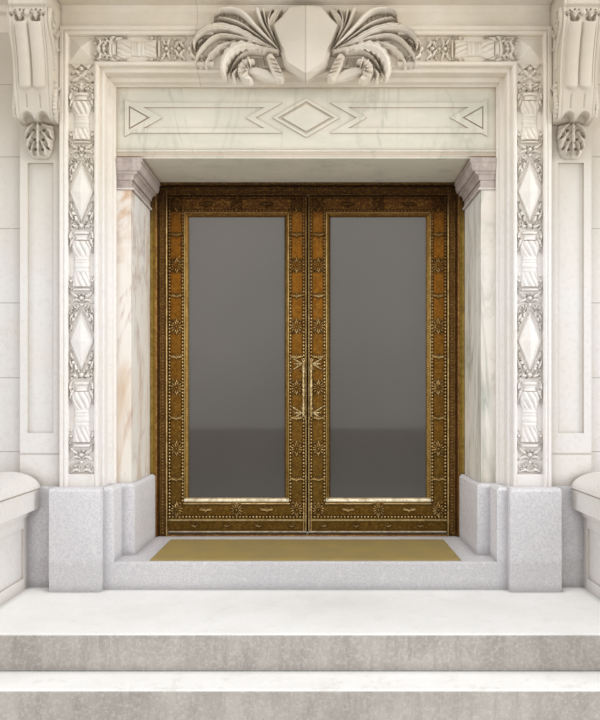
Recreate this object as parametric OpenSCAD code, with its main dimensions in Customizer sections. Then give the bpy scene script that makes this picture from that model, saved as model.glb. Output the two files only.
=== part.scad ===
// A pair of glazed bronze swing doors in a carved marble doorway with granite steps.
// Millimetres. X runs to the right, Y runs into the building, Z runs up.
// The origin is on the ground, below the middle of the doors' outer face.

/* [Levels] */
// Height of the ground step's tread above the ground
lower_step_top = 182; // [150:1:220]
// Height of the landing above the ground
landing_top = 364; // [300:1:440]
// Height of the sill above the ground
sill_top = 530; // [450:1:640]
// Height of the granite bases above the sill
plinth_rise = 444; // [370:1:540]
// Height of the marble reveal pilasters above the granite bases
pilaster_h = 1854; // [1540:1:2230]
// Height of the capitals
capital_h = 199; // [160:1:240]
// Height of the lintel stone
lintel_h = 447; // [360:1:540]
// Height of the plain frieze
frieze_h = 109; // [80:1:140]
// Height of the cornice
cornice_h = 273; // [220:1:330]

/* [Plan] */
// Half the clear width between the marble reveals
reveal_half = 1108; // [920:1:1340]
// Thickness of a reveal pilaster
pilaster_w = 92; // [75:1:115]
// How far the reveal pilasters stand in front of the doors
pilaster_front = 590; // [480:1:640]
// Width of the carved frame round the opening
architrave_w = 294; // [244:1:354]
// How far the carved frame stands in front of the doors
architrave_front = 800; // [760:1:830]
// Width of an outer pilaster
outer_pilaster_w = 250; // [210:1:300]
// How far the outer pilasters stand in front of the doors
outer_pilaster_front = 770; // [730:1:790]
// Width of the plain wall beside each outer pilaster
wall_end_w = 234; // [190:1:280]
// How far the wall masonry reaches in front of the doors
wall_front = 500; // [400:1:560]
// How far the wall masonry reaches behind the doors
wall_back = 250; // [200:1:400]
// How far the granite bases stand in front of the doors
plinth_front = 920; // [860:1:1000]
// How far the sill stands in front of the doors
sill_front = 860; // [790:1:900]
// Depth of the landing in front of the sill
landing_run = 860; // [700:1:1040]
// Depth of the lower step's tread
step_run = 240; // [200:1:320]

/* [Cheek walls] */
// Clear space between a granite base and the cheek wall beside it
cheek_space = 169; // [120:1:220]
// Thickness of a cheek wall
cheek_w = 220; // [180:1:264]
// Overhang of the coping on each side
coping_over = 74; // [50:1:90]
// Height of the coping's nose above the sill
coping_rise = 438; // [360:1:520]

/* [Doors] */
// Width of the bronze frame beside each leaf
frame_w = 118; // [98:1:142]
// Height of the bronze frame over the leaves
head_w = 84; // [82:1:100]
// Height of the pane's lower edge above the sill
pane_rise = 270; // [260:1:320]
// Width of the moulded bronze border round each pane
band_w = 158; // [154:1:190]
// Thickness of a leaf
leaf_t = 55; // [46:1:66]
// Half the gap between the two leaves
meeting_gap = 5; // [5:0.5:7]
// Gap between a leaf and the frame
frame_gap = 6; // [5:0.5:8]
// How far the frame's stop laps over a leaf's edge
stop_lap = 12; // [8:1:14]
// Thickness of the glass
glass_t = 8; // [6:1:10]
// Depth that the glass sits in its groove
glass_bite = 10; // [8:1:14]
// Clearance of the glass in its groove
glass_fit = 0.3; // [0.2:0.1:0.5]
// Height of the bronze threshold
threshold_h = 10; // [6:1:10]

/* [Hinges] */
// Outer radius of a hinge knuckle
knuckle_r = 9; // [8:0.5:9]
// Radius of the hinge pin
pin_r = 5; // [4:0.5:5]
// Running clearance between pin and knuckle
pin_fit = 0.08; // [0.05:0.01:0.1]
// Height of each of a hinge's three knuckles
knuckle_h = 42; // [30:1:60]
// Gap between two knuckles
knuckle_gap = 0.5; // [0.4:0.1:1]

/* [Pull handles] */
// Length of a pull handle
pull_l = 376; // [300:1:452]
// Radius of the grip
pull_r = 6; // [5:0.5:8]
// Distance from a leaf's face to the middle of the grip
pull_reach = 48; // [40:1:60]
// Height of the handle's middle above the sill
pull_rise = 1046; // [900:1:1200]

/* [Ornament] */
// Radius of a large rosette
rosette_r = 31; // [24:1:34]
// Radius of a small boss
boss_r = 17; // [12:1:24]
// Spacing of rosettes along the leaf's border
rosette_pitch = 432; // [380:1:460]
// Width of the front of a console
console_w = 232; // [190:1:250]
// How far a console stands in front of its pilaster
console_reach = 240; // [200:1:288]
// How far the fans of leaves beside the shield stand in front of the frieze
fan_t = 105; // [80:1:126]
// Length of the doormat
mat_l = 1880; // [1500:1:2000]
// Depth of the doormat
mat_w = 640; // [500:1:700]
// Thickness of the doormat
mat_t = 14; // [8:1:20]

/* [Hidden] */
$fn = 48;
left = -1;
right = 1;

// Heights above the ground
plinth_top = sill_top + plinth_rise;
capital_bottom = plinth_top + pilaster_h;
soffit_z = capital_bottom + capital_h;
lintel_top = soffit_z + lintel_h;
architrave_top = lintel_top + architrave_w;
frieze_top = architrave_top + frieze_h;
cornice_top = frieze_top + cornice_h;

// Half widths from the middle of the doorway
pilaster_half = reveal_half + pilaster_w;
architrave_half = pilaster_half + architrave_w;
outer_half = architrave_half + outer_pilaster_w;
wall_half = outer_half + wall_end_w;
base_inner = reveal_half + 39;
base_step = pilaster_half + 10;
base_outer = architrave_half + 21;
base_side_front = outer_pilaster_front + 30;
cheek_half = base_outer + cheek_space;
frieze_front = architrave_front - 45;
end_front = architrave_front - 85;

// The frame's own section, measured outwards from the inner edge of its stop
stop_inner = reveal_half - frame_w;
stop_bottom = soffit_z - head_w;
rebate_w = stop_lap + frame_gap;
frame_front = 45;

// Places of the leaves: the leaf's edges, the pane and the hinge's axis
leaf_outer = stop_inner + stop_lap;
leaf_top = stop_bottom + stop_lap;
leaf_bottom = sill_top + threshold_h + frame_gap;
pane_inner = meeting_gap + band_w;
pane_outer = leaf_outer - band_w;
pane_bottom = sill_top + pane_rise;
pane_top = leaf_top - band_w;
pane_w = pane_outer - pane_inner;
pane_h = pane_top - pane_bottom;
hinge_x = leaf_outer + frame_gap / 2;
hinge_y = leaf_t + knuckle_r + 1;
hinge_low = pane_bottom + 30;
hinge_high = leaf_top - 245;
hinge_heights = [hinge_low, (hinge_low + hinge_high) / 2, hinge_high];

// The border's section, measured outwards from the pane
lip_w = 34;
bead_w = 17;
panel_start = 53;
panel_end = 125;
panel_mid = 85;
panel_sink = 5;
far_bead_start = 127;
far_bead_end = 145;
bead_mid = 136;

// A block between two corners
module block(low, high) {
    translate(low) cube(high - low);
}

// Mirrors its children to the left when side is left
module on_side(side) {
    mirror([side == left ? 1 : 0, 0, 0]) children();
}

// Points of an arc about a centre, from one angle to another
function arc(centre, r, a0, a1, n = 6) =
    [for (i = [0:n]) centre + r * [cos(a0 + (a1 - a0) * i / n), sin(a0 + (a1 - a0) * i / n)]];

// Extrudes a section drawn in Y and Z along X
module along_x(x0, x1) {
    translate([x0, 0, 0]) rotate([90, 0, 90]) linear_extrude(x1 - x0) children();
}

// Extrudes a section drawn in X and Z along Y
module along_y(y0, y1) {
    translate([0, y1, 0]) rotate([90, 0, 0]) linear_extrude(y1 - y0) children();
}

// Steps: blocks with a rounded front edge
nosing_r = 12;

// Section of a step from its front plane to its back plane
function step_section(front, back, low, high) = concat([[back, low], [back, high]],
    arc([front + nosing_r, high - nosing_r], nosing_r, 90, 180, 4), [[front, low]]);

module lower_step() {
    front = -sill_front - landing_run - step_run;
    color("gainsboro") along_x(-cheek_half, cheek_half)
        polygon(step_section(front, front + step_run, 0, lower_step_top));
}

module landing() {
    color("gainsboro") union() {
        along_x(-cheek_half, cheek_half)
            polygon(step_section(-sill_front - landing_run, wall_back, 0, landing_top));
        block([-wall_half, -base_side_front, 0], [wall_half, wall_back, landing_top]);
    }
}

module sill() {
    color("lightgray") union() {
        along_x(-base_inner, base_inner)
            polygon(step_section(-sill_front, wall_back, landing_top, sill_top));
        block([-pilaster_half, -wall_front, landing_top], [pilaster_half, wall_back, sill_top]);
    }
}

// Granite bases
base_bevel = 16;

// A block whose top edge is bevelled on its front and inner side
module bevelled_block(low, high, bevel = base_bevel) {
    intersection() {
        along_y(low[1], high[1]) polygon([[low[0], low[2]], [high[0], low[2]], [high[0], high[2]],
            [low[0] + bevel, high[2]], [low[0], high[2] - bevel]]);
        along_x(low[0], high[0]) polygon([[low[1], low[2]], [high[1], low[2]], [high[1], high[2]],
            [low[1] + bevel, high[2]], [low[1], high[2] - bevel]]);
    }
}

module plinth(side) {
    color("darkgray") on_side(side) union() {
        bevelled_block([base_step, -plinth_front, landing_top], [base_outer, -wall_front, plinth_top]);
        block([base_inner, -sill_front, landing_top], [base_step, -wall_front, sill_top]);
        bevelled_block([base_inner, -sill_front, sill_top - 1],
            [base_step, -reveal_plinth_front, plinth_top]);
        block([base_outer - 1, -base_side_front, landing_top], [wall_half, -wall_front, plinth_top]);
        block([pilaster_half, -reveal_plinth_front - 1, sill_top - 1],
            [base_step + 1, -wall_front, plinth_top]);
    }
}

reveal_plinth_front = pilaster_front + 70;
reveal_plinth_proud = 38;

module reveal_plinth(side) {
    color("darkgray") on_side(side) union() {
        bevelled_block([reveal_half - reveal_plinth_proud, -reveal_plinth_front, sill_top],
            [pilaster_half, -frame_front, plinth_top]);
        block([reveal_half, -frame_front - 1, sill_top], [pilaster_half, wall_back, plinth_top]);
    }
}

// Marble reveal pilasters and their capitals
module pilaster(side) {
    color("linen") on_side(side)
        block([reveal_half, -pilaster_front, plinth_top], [pilaster_half, wall_back, capital_bottom]);
}

// Outline of a capital's mouldings: how far they stand out at each height
function capital_steps() = concat(
    [[0, 0], [12, 0]], arc([8, 9], 9, -60, 60, 4), [[10, 20], [4, 22], [4, 62], [14, 64], [14, 78]],
    arc([38, 78], 24, 180, 90, 5), [[40, 104], [40, 116]], arc([40, 140], 24, -90, 0, 5),
    [[66, 142], [66, 168], [72, 172], [72, capital_h], [0, capital_h]]);

module capital(side) {
    steps = capital_steps();
    color("rosybrown") on_side(side) union() {
        intersection() {
            along_y(-pilaster_front - 80, -frame_front)
                polygon(concat([for (p = steps) [reveal_half - p[0], capital_bottom + p[1]]],
                    [[pilaster_half, soffit_z], [pilaster_half, capital_bottom]]));
            along_x(reveal_half - 80, pilaster_half)
                polygon(concat([for (p = steps) [-pilaster_front - p[0] / 3, capital_bottom + p[1]]],
                    [[0, soffit_z], [0, capital_bottom]]));
        }
        block([reveal_half, -frame_front - 1, capital_bottom], [pilaster_half, wall_back, soffit_z]);
    }
}

// Lintel with its sunk and raised lozenges
lintel_relief = 7;

// Outline of a lozenge about a centre
function lozenge(centre, half_w, half_h) =
    [centre - [half_w, 0], centre + [0, half_h], centre + [half_w, 0], centre - [0, half_h]];

module lintel() {
    lower = soffit_z;
    face = -pilaster_front - 6;
    color("antiquewhite") union() {
        along_x(-pilaster_half, pilaster_half)
            polygon([[wall_back, lower], [wall_back, lintel_top], [face, lintel_top], [face, lower + 64],
                [face - 4, lower + 60], [face - 14, lower + 52], [face - 14, lower + 40],
                [face - 6, lower + 36], [face - 6, lower + 14], [face, lower + 8], [face, lower]]);
        along_y(face - lintel_relief, face + 1) lintel_ornament();
    }
}

// Raised strips on the lintel: two nested lozenges in the middle, and on each side a long panel
// with pointed ends and a triangle
module lintel_ornament() {
    mid = (soffit_z + 64 + lintel_top) / 2;
    end = pilaster_half - 54;
    difference() {
        polygon(lozenge([0, mid], 212, 124));
        polygon(lozenge([0, mid], 178, 104));
    }
    polygon(lozenge([0, mid], 150, 86));
    for (side = [left, right]) {
        translate([0, mid]) scale([side, 1]) {
            difference() {
                polygon(arrow_panel(96, 320, end - 174, 0));
                polygon(arrow_panel(96, 320, end - 174, 30));
            }
            difference() {
                polygon([[end, -118], [end, 118], [end - 206, 0]]);
                polygon([[end - 26, -76], [end - 26, 76], [end - 160, 0]]);
            }
            polygon([[end - 34, -62], [end - 34, 62], [end - 142, 0]]);
        }
    }
}

// Long panel with both ends cut in to a point: inset pulls every edge inwards
function arrow_panel(h, x0, x1, inset) = let (
        slope = 209 / 118,
        shift = inset * sqrt(1 + slope * slope),
        top = h - inset)
    [[x0 + shift, 0], [x0 + shift - slope * top, top], [x1 - shift + slope * top, top],
     [x1 - shift, 0], [x1 - shift + slope * top, -top], [x0 + shift - slope * top, -top]];

// Carved frame round the opening: section from its inner edge outwards
band_sink = 36;
band_inner = 90;
band_margin = 50;
band_outer = architrave_w - band_margin;
band_centre = (band_inner + band_outer) / 2;
band_ground = architrave_front - band_sink;
foot_h = 74;

function architrave_section() = let (f = architrave_front, w = architrave_w) concat(
    [[0, wall_front], [0, pilaster_front + 20], [8, pilaster_front + 26], [14, pilaster_front + 60],
    [37, pilaster_front + 70], [37, f - 70]],
    arc([50, f - 70], 13, 180, 90, 4), [[band_inner - 29, f - 57], [band_inner - 27, f - 24]],
    arc([band_inner - 14, f - 28], 14, 140, 20, 5),
    [[band_inner, band_ground], [band_outer, band_ground], [band_outer + 2, f - 12]],
    arc([band_outer + 16, f - 15], 14, 150, 40, 5),
    [[band_outer + 30, f], [w, f], [w, wall_front]]);

module architrave_side(side) {
    color("beige") on_side(side) union() {
        intersection() {
            union() {
                translate([0, 0, plinth_top]) linear_extrude(architrave_top - plinth_top)
                    polygon([for (p = architrave_section()) [pilaster_half + p[0], -p[1]]]);
                corner_boss();
            }
            along_y(-architrave_front - 1, 0) polygon([[pilaster_half, plinth_top],
                [pilaster_half, lintel_top], [architrave_half, architrave_top],
                [architrave_half, plinth_top]]);
        }
        block([pilaster_half + band_inner - 4, -band_ground - 20, plinth_top],
              [pilaster_half + band_outer + 4, -band_ground + 1, plinth_top + foot_h]);
        for (z = lozenge_heights) {
            pyramid([pilaster_half + band_centre, -band_ground, z], band_outer - band_centre - 2, 186, 30);
        }
    }
}

// Heights of the two lozenges in each side's carved band
lozenge_heights = [plinth_top + 885, plinth_top + 1794];

// A four-sided pyramid that stands out from the plane behind it
module pyramid(foot, half_w, half_h, rise) {
    translate(foot) rotate([90, 0, 0]) polyhedron(
        [[-half_w, 0, -3], [0, -half_h, -3], [half_w, 0, -3], [0, half_h, -3], [0, 0, rise]],
        [[0, 1, 2, 3], [0, 4, 1], [1, 4, 2], [2, 4, 3], [3, 4, 0]]);
}

// The square boss in the corner of the carved band
module corner_boss() {
    half = (band_outer - band_inner) / 2 - 3;
    translate([pilaster_half + band_centre, 0, lintel_top + band_centre]) rotate([0, 45, 0])
        pyramid([0, -band_ground, 0], half * sqrt(2), half * sqrt(2), 32);
}

// The head's straight section, before its ends are mitred
module architrave_head_bar(half) {
    along_x(-half, half) polygon([for (p = architrave_section()) [-p[1], lintel_top + p[0]]]);
}

module architrave_head() {
    color("beige") union() {
        intersection() {
            union() {
                difference() {
                    architrave_head_bar(architrave_half);
                    block([-fan_stop, -architrave_front - 1, lintel_top + fan_seat],
                          [fan_stop, -frieze_front, architrave_top + 1]);
                }
                for (side = [left, right]) on_side(side) corner_boss();
            }
            along_y(-architrave_front - 1, 0) polygon([[-pilaster_half, lintel_top],
                [-architrave_half, architrave_top], [architrave_half, architrave_top],
                [pilaster_half, lintel_top]]);
        }
        block([-pilaster_half, -wall_front - 1, lintel_top],
              [pilaster_half, wall_back, architrave_top]);
        block([-fan_stop - 10, -frieze_front, lintel_top + fan_seat],
              [fan_stop + 10, -wall_front, architrave_top]);
        block([-architrave_half, -wall_front, lintel_top],
              [architrave_half, wall_back, architrave_top]);
    }
}

// Outer pilasters with their sunk panels
module outer_pilaster(side) {
    margin = 46;
    color("seashell") on_side(side) difference() {
        block([architrave_half, -outer_pilaster_front, plinth_top], [outer_half, -wall_front, frieze_top]);
        block([architrave_half + margin, -outer_pilaster_front - 1, plinth_top + 324],
              [outer_half - margin, -outer_pilaster_front + 14, capital_bottom + 119]);
        block([architrave_half - 1, -outer_pilaster_front - 1, plinth_top + 190],
              [outer_half + 1, -outer_pilaster_front + 5, plinth_top + 202]);
    }
}

// Consoles: rows from the top down, each as drop below the cornice, reach of the front, height of
// the two lobes, and how far the row dips with the lobes to form a scalloped edge
console_rows = [[0, 1.00, 0, 0], [44, 1.00, 0, 0], [56, 0.94, 0, 0], [84, 0.93, 6, 0],
    [120, 0.96, 16, 0], [170, 0.97, 20, 0], [240, 0.90, 20, 0], [320, 0.78, 19, 0],
    [400, 0.69, 18, 0], [480, 0.64, 18, 0], [556, 0.64, 18, 1], [574, 0.60, 14, 1],
    [582, 0.50, 8, 1], [640, 0.49, 8, 0], [690, 0.49, 12, 0], [724, 0.45, 14, 0],
    [738, 0.36, 10, 0]];
console_top = frieze_top + 33;
console_bottom = console_top - console_rows[len(console_rows) - 1][0];
lobe_start = 3;
lobe_columns = 5;
lobe_dip = 26;
pendant_h = 207;
pendant_r = 76;

// Height of the two lobes across the front, from 0 to 1, in column i
function lobe(i) = let (k = i - lobe_start)
    k <= 0 || k >= 2 * lobe_columns ? 0 : sin(180 * (k % lobe_columns) / lobe_columns);

module console(side) {
    n = 2 * (lobe_start + lobe_columns);
    m = n + 1;
    x0 = architrave_half + 4;
    last = len(console_rows) - 1;
    front = [for (row = console_rows) for (i = [0:n])
        [x0 + console_w * i / n, -outer_pilaster_front - row[1] * console_reach - row[2] * lobe(i),
         console_top - row[0] - lobe_dip * row[3] * lobe(i)]];
    back = [for (row = console_rows) for (i = [0:n])
        [x0 + console_w * i / n, -outer_pilaster_front + 20, console_top - row[0]]];
    b = len(front);
    foot = last * m;
    faces = concat(
        [for (j = [0:last - 1]) for (i = [0:n - 1]) each let (a = j * m + i, c = a + m)
            [[a, a + 1, c], [a + 1, c + 1, c]]],
        [for (j = [0:last - 1]) for (i = [0:n - 1]) each let (a = b + j * m + i, c = a + m)
            [[a, c, a + 1], [a + 1, c, c + 1]]],
        [for (i = [0:n - 1]) each [[i, b + i, i + 1], [i + 1, b + i, b + i + 1]]],
        [for (i = [foot:foot + n - 1]) each [[i, i + 1, b + i], [i + 1, b + i + 1, b + i]]],
        [for (j = [0:last - 1]) each let (a = j * m, c = a + m) [[a, c, b + a], [c, b + c, b + a]]],
        [for (j = [0:last - 1]) each let (a = j * m + n, c = a + m)
            [[a, b + a, c], [c, b + a, b + c]]]);
    color("oldlace") on_side(side) difference() {
        union() {
            polyhedron(concat(front, back), faces);
            console_pendant(x0 + console_w / 2);
        }
        block([x0 - 40, -outer_pilaster_front, plinth_top], [x0 + console_w + 40, 0, console_top + 1]);
    }
}

// The drop below a console, half round against its pilaster
module console_pendant(x) {
    translate([x, -outer_pilaster_front, console_bottom - pendant_h]) rotate_extrude()
        polygon(concat([[0, 0]], arc([0, 62], 62, -90, -10, 5), [[66, 74], [pendant_r, 112],
            [pendant_r, 150], [60, 176], [66, 196], [66, pendant_h + 2], [0, pendant_h + 2]]));
}

// Shield: half outline from the top corner to the point, as half width and height over the lintel
shield_outline = [[112, 400], [150, 348], [207, 298], [190, 248], [167, 183], [146, 118], [133, 54],
    [120, 36], [0, -36]];
shield_mid = 166;
shield_edge = 60;
shield_ridge = 34;
shield_bevel = 18;
// The bevel's height at the top and at the point, as shares of its width
shield_rim_top = 0.35;
shield_rim_foot = 1.3;

// The carving over the middle was measured on a head and frieze of this height together
carving_rise = (architrave_w + frieze_h) / 403;

// One corner of the shield's outline, pulled in by inset, on side s
function shield_point(p, inset, s) = [s * max(0, p[0] - inset),
    lintel_top + carving_rise * (p[1] + inset * (p[1] > shield_mid ? -shield_rim_top : shield_rim_foot))];

// The whole outline: down the right side and up the left
function shield_ring(inset) = let (pts = concat([[0, shield_outline[0][1]]], shield_outline))
    concat([for (p = pts) shield_point(p, inset, 1)],
        [for (i = [len(pts) - 2:-1:1]) shield_point(pts[i], inset, -1)]);

module shield() {
    base = shield_ring(0);
    face = shield_ring(shield_bevel);
    n = len(base);
    front = frieze_front + shield_edge;
    widest = max([for (p = shield_outline) p[0]]);
    points = concat([for (p = base) [p[0], -frieze_front + 100, p[1]]],
        [for (p = base) [p[0], -front + 20, p[1]]],
        [for (p = face) [p[0], -front - shield_ridge * (1 - abs(p[0]) / widest), p[1]]]);
    half = floor(n / 2);
    faces = concat(
        [[for (i = [0:n - 1]) i]],
        [for (i = [0:n - 1]) [i, i + n, (i + 1) % n + n, (i + 1) % n]],
        [for (i = [0:n - 1]) each let (a = i + n, b = (i + 1) % n + n)
            [[a, a + n, b + n], [a, b + n, b]]],
        [[for (i = [half:-1:0]) i + 2 * n]],
        [concat([2 * n], [for (i = [n - 1:-1:half]) i + 2 * n])]);
    color("whitesmoke") fitted_to_wall() polyhedron(points, faces);
}

// The middle of the architrave's head is plain behind the fans, over its inner mouldings
fan_stop = 560;
fan_seat = 60;

// Cuts its children back to the faces of the architrave's head and the frieze. What hangs below the
// head stands free in front of the lintel
module fitted_to_wall() {
    difference() {
        children();
        block([-wall_half, -architrave_front, lintel_top + fan_seat],
              [-fan_stop, 0, architrave_top]);
        block([fan_stop, -architrave_front, lintel_top + fan_seat],
              [wall_half, 0, architrave_top]);
        block([-wall_half, -frieze_front, lintel_top + fan_seat - 1],
              [wall_half, 0, frieze_top + 40]);
        block([-wall_half, -architrave_front + 56, soffit_z], [wall_half, 0, lintel_top + fan_seat]);
    }
}

// Fan of leaves beside the shield. Each leaf bends over from the root to its tip: the four points
// of its curve, as distance from the middle and height over the lintel, then its width and reach
fan_leaves = [
    [[[146, 140], [190, 240], [240, 320], [310, 372]], 104, 0.80],
    [[[160, 120], [330, 330], [590, 440], [652, 250]], 112, 1.00],
    [[[190, 96], [320, 230], [590, 260], [552, 30]], 124, 0.94],
    [[[170, 70], [300, 140], [450, 150], [428, -24]], 116, 0.84],
    [[[140, 70], [190, 50], [236, 30], [306, -20]], 100, 0.80],
    [[[150, -10], [176, 60], [196, 150], [214, 236]], 120, 0.74]];
fan_x = [120, 696];
fan_z = [-76, 396];
fan_cell = 20;
leaf_steps = 10;
leaf_vein = 0.3;
leaf_cut = 0.35;
leaf_base = 0.68;

// Point of a leaf's curve at t from 0 to 1
function bezier(p, t) = let (u = 1 - t)
    u * u * u * p[0] + 3 * u * u * t * p[1] + 3 * u * t * t * p[2] + t * t * t * p[3];

// Share of a leaf's reach at u, the place across it from 0 at the vein to 1 at the edge
function across(u) = u >= 1 ? 0 : sqrt(1 - u * u) * (u < leaf_vein ? 0.76 + 0.24 * u / leaf_vein : 1);

// How far one leaf stands out at point q
function leaf_rise(leaf, q) = max([for (k = [0:leaf_steps]) let (t = k / leaf_steps,
        wide = leaf[1] * (0.3 + 0.7 * sin(180 * pow(t, 0.8)) + 0.14 * t) / 2)
    leaf[2] * (0.6 + 0.4 * sin(150 * t)) * across(norm(q - bezier(leaf[0], t)) / wide)]);

module acanthus(side) {
    nx = ceil((fan_x[1] - fan_x[0]) / fan_cell);
    nz = floor((fan_z[1] - fan_z[0]) / fan_cell);
    m = nx + 1;
    back = pilaster_front + 20;
    grid = [for (j = [0:nz]) for (i = [0:nx])
        let (q = [fan_x[0] + i * fan_cell, fan_z[0] + j * fan_cell],
            edge = i == 0 || i == nx || j == 0 || j == nz,
            rise = edge ? 0 : max([for (leaf = fan_leaves) leaf_rise(leaf, q)]),
            out = rise < leaf_cut ? 0 : leaf_base + (1 - leaf_base) * rise)
        [q[0], -back - out * (frieze_front + fan_t - back), lintel_top + carving_rise * q[1]]];
    apex = [(fan_x[0] + fan_x[1]) / 2, -back + 30, lintel_top + carving_rise * 160];
    rim = concat([for (i = [0:nx - 1]) i], [for (j = [0:nz - 1]) j * m + nx],
        [for (i = [nx:-1:1]) nz * m + i], [for (j = [nz:-1:1]) j * m]);
    faces = concat([for (j = [0:nz - 1]) for (i = [0:nx - 1]) each
            let (a = j * m + i, c = a + m) [[a, c, a + 1], [a + 1, c, c + 1]]],
        [for (i = [0:len(rim) - 1]) [rim[i], rim[(i + 1) % len(rim)], len(grid)]]);
    color("ivory") on_side(side) fitted_to_wall() difference() {
        polyhedron(concat(grid, [apex]), faces);
        along_y(-frieze_front - 2 * fan_t, 0) polygon(shield_ring(0));
    }
}

// Upper wall
module frieze() {
    color("beige") union() {
        block([-wall_half, -wall_front, architrave_top], [wall_half, wall_back, frieze_top]);
        block([-architrave_half, -frieze_front, architrave_top],
              [architrave_half, -wall_front + 1, frieze_top]);
        for (side = [left, right]) {
            on_side(side) block([outer_half, -end_front, architrave_top],
                                [wall_half, -wall_front + 1, frieze_top]);
        }
    }
}

module cornice() {
    z = frieze_top;
    f = frieze_front;
    bed = outer_pilaster_front - frieze_front;
    color("beige") along_x(-wall_half, wall_half)
        polygon(concat([[wall_back, z], [wall_back, cornice_top], [-f - 385, cornice_top],
            [-f - 385, cornice_top - 34]],
            [for (i = [0:6]) [-f - 380 + 80 * i / 6 + 10 * sin(360 * i / 6), cornice_top - 40 - 90 * i / 6]],
            [[-f - 296, z + 128], [-f - 296, z + 33], [-f - bed, z + 33], [-f - bed / 2, z + 20],
            [-f, z]]));
}

module wall(side) {
    color("beige") on_side(side) union() {
        block([pilaster_half, -wall_front, landing_top], [wall_half, wall_back, lintel_top]);
        block([architrave_half, -wall_front, lintel_top - 1], [wall_half, wall_back, architrave_top]);
        block([outer_half, -end_front, plinth_top], [wall_half, -wall_front + 1, architrave_top]);
    }
}

// Cheek walls beside the steps, with a round-topped coping and a sunk panel on each side
barrel_rise = 97;
slab_h = 122;
cyma_h = 52;

module cheek_wall(side) {
    mid = cheek_half + cheek_w / 2;
    reach = cheek_w / 2 + coping_over;
    nose = sill_top + coping_rise;
    body = cheek_w / 2;
    slab = nose - slab_h;
    half = concat([[body, 0], [body, slab - cyma_h], [body + 14, slab - cyma_h + 6]],
        arc([body + 60, slab - cyma_h + 6], 46, 180, 100, 4),
        [[reach - 4, slab - 2], [reach - 4, nose - 10], [reach - 12, nose - 4], [reach, nose]]);
    top = [for (i = [1:8]) [reach * cos(90 * i / 8), nose + barrel_rise * sin(90 * i / 8)]];
    y0 = -sill_front - landing_run - step_run;
    y1 = -base_side_front;
    color("whitesmoke") on_side(side) difference() {
        along_y(y0, y1) polygon(concat([for (p = half) [mid + p[0], p[1]]],
            [for (p = top) [mid + p[0], p[1]]], [for (i = [6:-1:0]) [mid - top[i][0], top[i][1]]],
            [for (i = [len(half) - 1:-1:0]) [mid - half[i][0], half[i][1]]]));
        for (face = [-1, 1]) {
            block([mid + face * body - 12, y0 + 110, landing_top + 70],
                  [mid + face * body + 12, y1 - 70, slab - cyma_h - 60]);
        }
        block([mid - body + 50, y0 - 1, 90], [mid + body - 50, y0 + 12, slab - cyma_h - 60]);
    }
}

// Doormat on the sill
module entrance_mat() {
    front = -sill_front + 32;
    color("darkgoldenrod")
        block([-mat_l / 2, front, sill_top], [mat_l / 2, front + mat_w, sill_top + mat_t]);
}

// Bronze door frame: section from the stop's inner edge outwards
function frame_section(w) = [[0, -10], [3, -20], [7, -22], [11, -20], [14, -14], [35, -14], [37, -4],
    [62, -4], [65, -26], [70, -37], [77, -43], [80, -frame_front], [w, -frame_front], [w, leaf_t],
    [rebate_w, leaf_t], [rebate_w, -frame_gap], [0, -frame_gap]];

module door_frame_side(side) {
    color("peru") on_side(side) union() {
        intersection() {
            translate([stop_inner, 0, sill_top]) linear_extrude(soffit_z - sill_top)
                polygon(frame_section(frame_w));
            along_y(-frame_front - 1, leaf_t + 1) polygon([[stop_inner, sill_top],
                [stop_inner, stop_bottom], [stop_inner + head_w, soffit_z],
                [reveal_half, soffit_z], [reveal_half, sill_top]]);
        }
        for (z = hinge_heights) {
            for (up = [left, right]) {
                frame_knuckle(z + up * (knuckle_h + knuckle_gap));
            }
            translate([hinge_x, hinge_y, z]) cylinder(r = pin_r, h = 3 * knuckle_h, center = true);
        }
    }
}

// One knuckle fixed to the frame, with its strap
module frame_knuckle(z) {
    translate([hinge_x, hinge_y, z]) cylinder(r = knuckle_r, h = knuckle_h, center = true);
    block([hinge_x, leaf_t + 1.5, z - knuckle_h / 2], [hinge_x + 46, leaf_t + 5, z + knuckle_h / 2]);
    block([hinge_x + 5, leaf_t - 1, z - knuckle_h / 2], [hinge_x + 46, leaf_t + 5, z + knuckle_h / 2]);
}

module door_frame_head() {
    color("peru") intersection() {
        along_x(-reveal_half, reveal_half)
            polygon([for (p = frame_section(head_w)) [p[1], stop_bottom + p[0]]]);
        along_y(-frame_front - 1, leaf_t + 1) polygon([[-stop_inner, stop_bottom],
            [-stop_inner - head_w, soffit_z], [stop_inner + head_w, soffit_z], [stop_inner, stop_bottom]]);
    }
}

module threshold() {
    color("peru") along_x(-stop_inner, stop_inner)
        polygon([[-22, sill_top], [-14, sill_top + threshold_h], [leaf_t, sill_top + threshold_h],
            [leaf_t + 8, sill_top]]);
}

// Leaves: section of the border from the pane outwards
function band_section() = concat([[0, 20]], [for (i = [1:5]) [28 * i / 5, 20 - 19 * sin(90 * i / 5)]],
    [[lip_w, 0], [lip_w, panel_sink], [lip_w + bead_w, panel_sink], [lip_w + bead_w, 1],
    [panel_start, 1], [panel_start, panel_sink], [panel_end, panel_sink], [panel_end, 1],
    [far_bead_start, 1], [far_bead_start, panel_sink], [far_bead_end, panel_sink], [far_bead_end, 0],
    [band_w, 0], [band_w, leaf_t], [0, leaf_t]]);

// A mitred member of the border, its middle at the pane's edge
module band(len) {
    groove = glass_t / 2 + glass_fit;
    difference() {
        intersection() {
            translate([0, 0, -len / 2 - band_w]) linear_extrude(len + 2 * band_w) polygon(band_section());
            along_y(-1, leaf_t + 1) polygon([[0, -len / 2], [0, len / 2],
                [band_w, len / 2 + band_w], [band_w, -len / 2 - band_w]]);
        }
        block([-1, glass_y - groove, -len / 2 - band_w],
              [glass_bite + glass_fit, glass_y + groove, len / 2 + band_w]);
    }
}

glass_y = 30;

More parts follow.
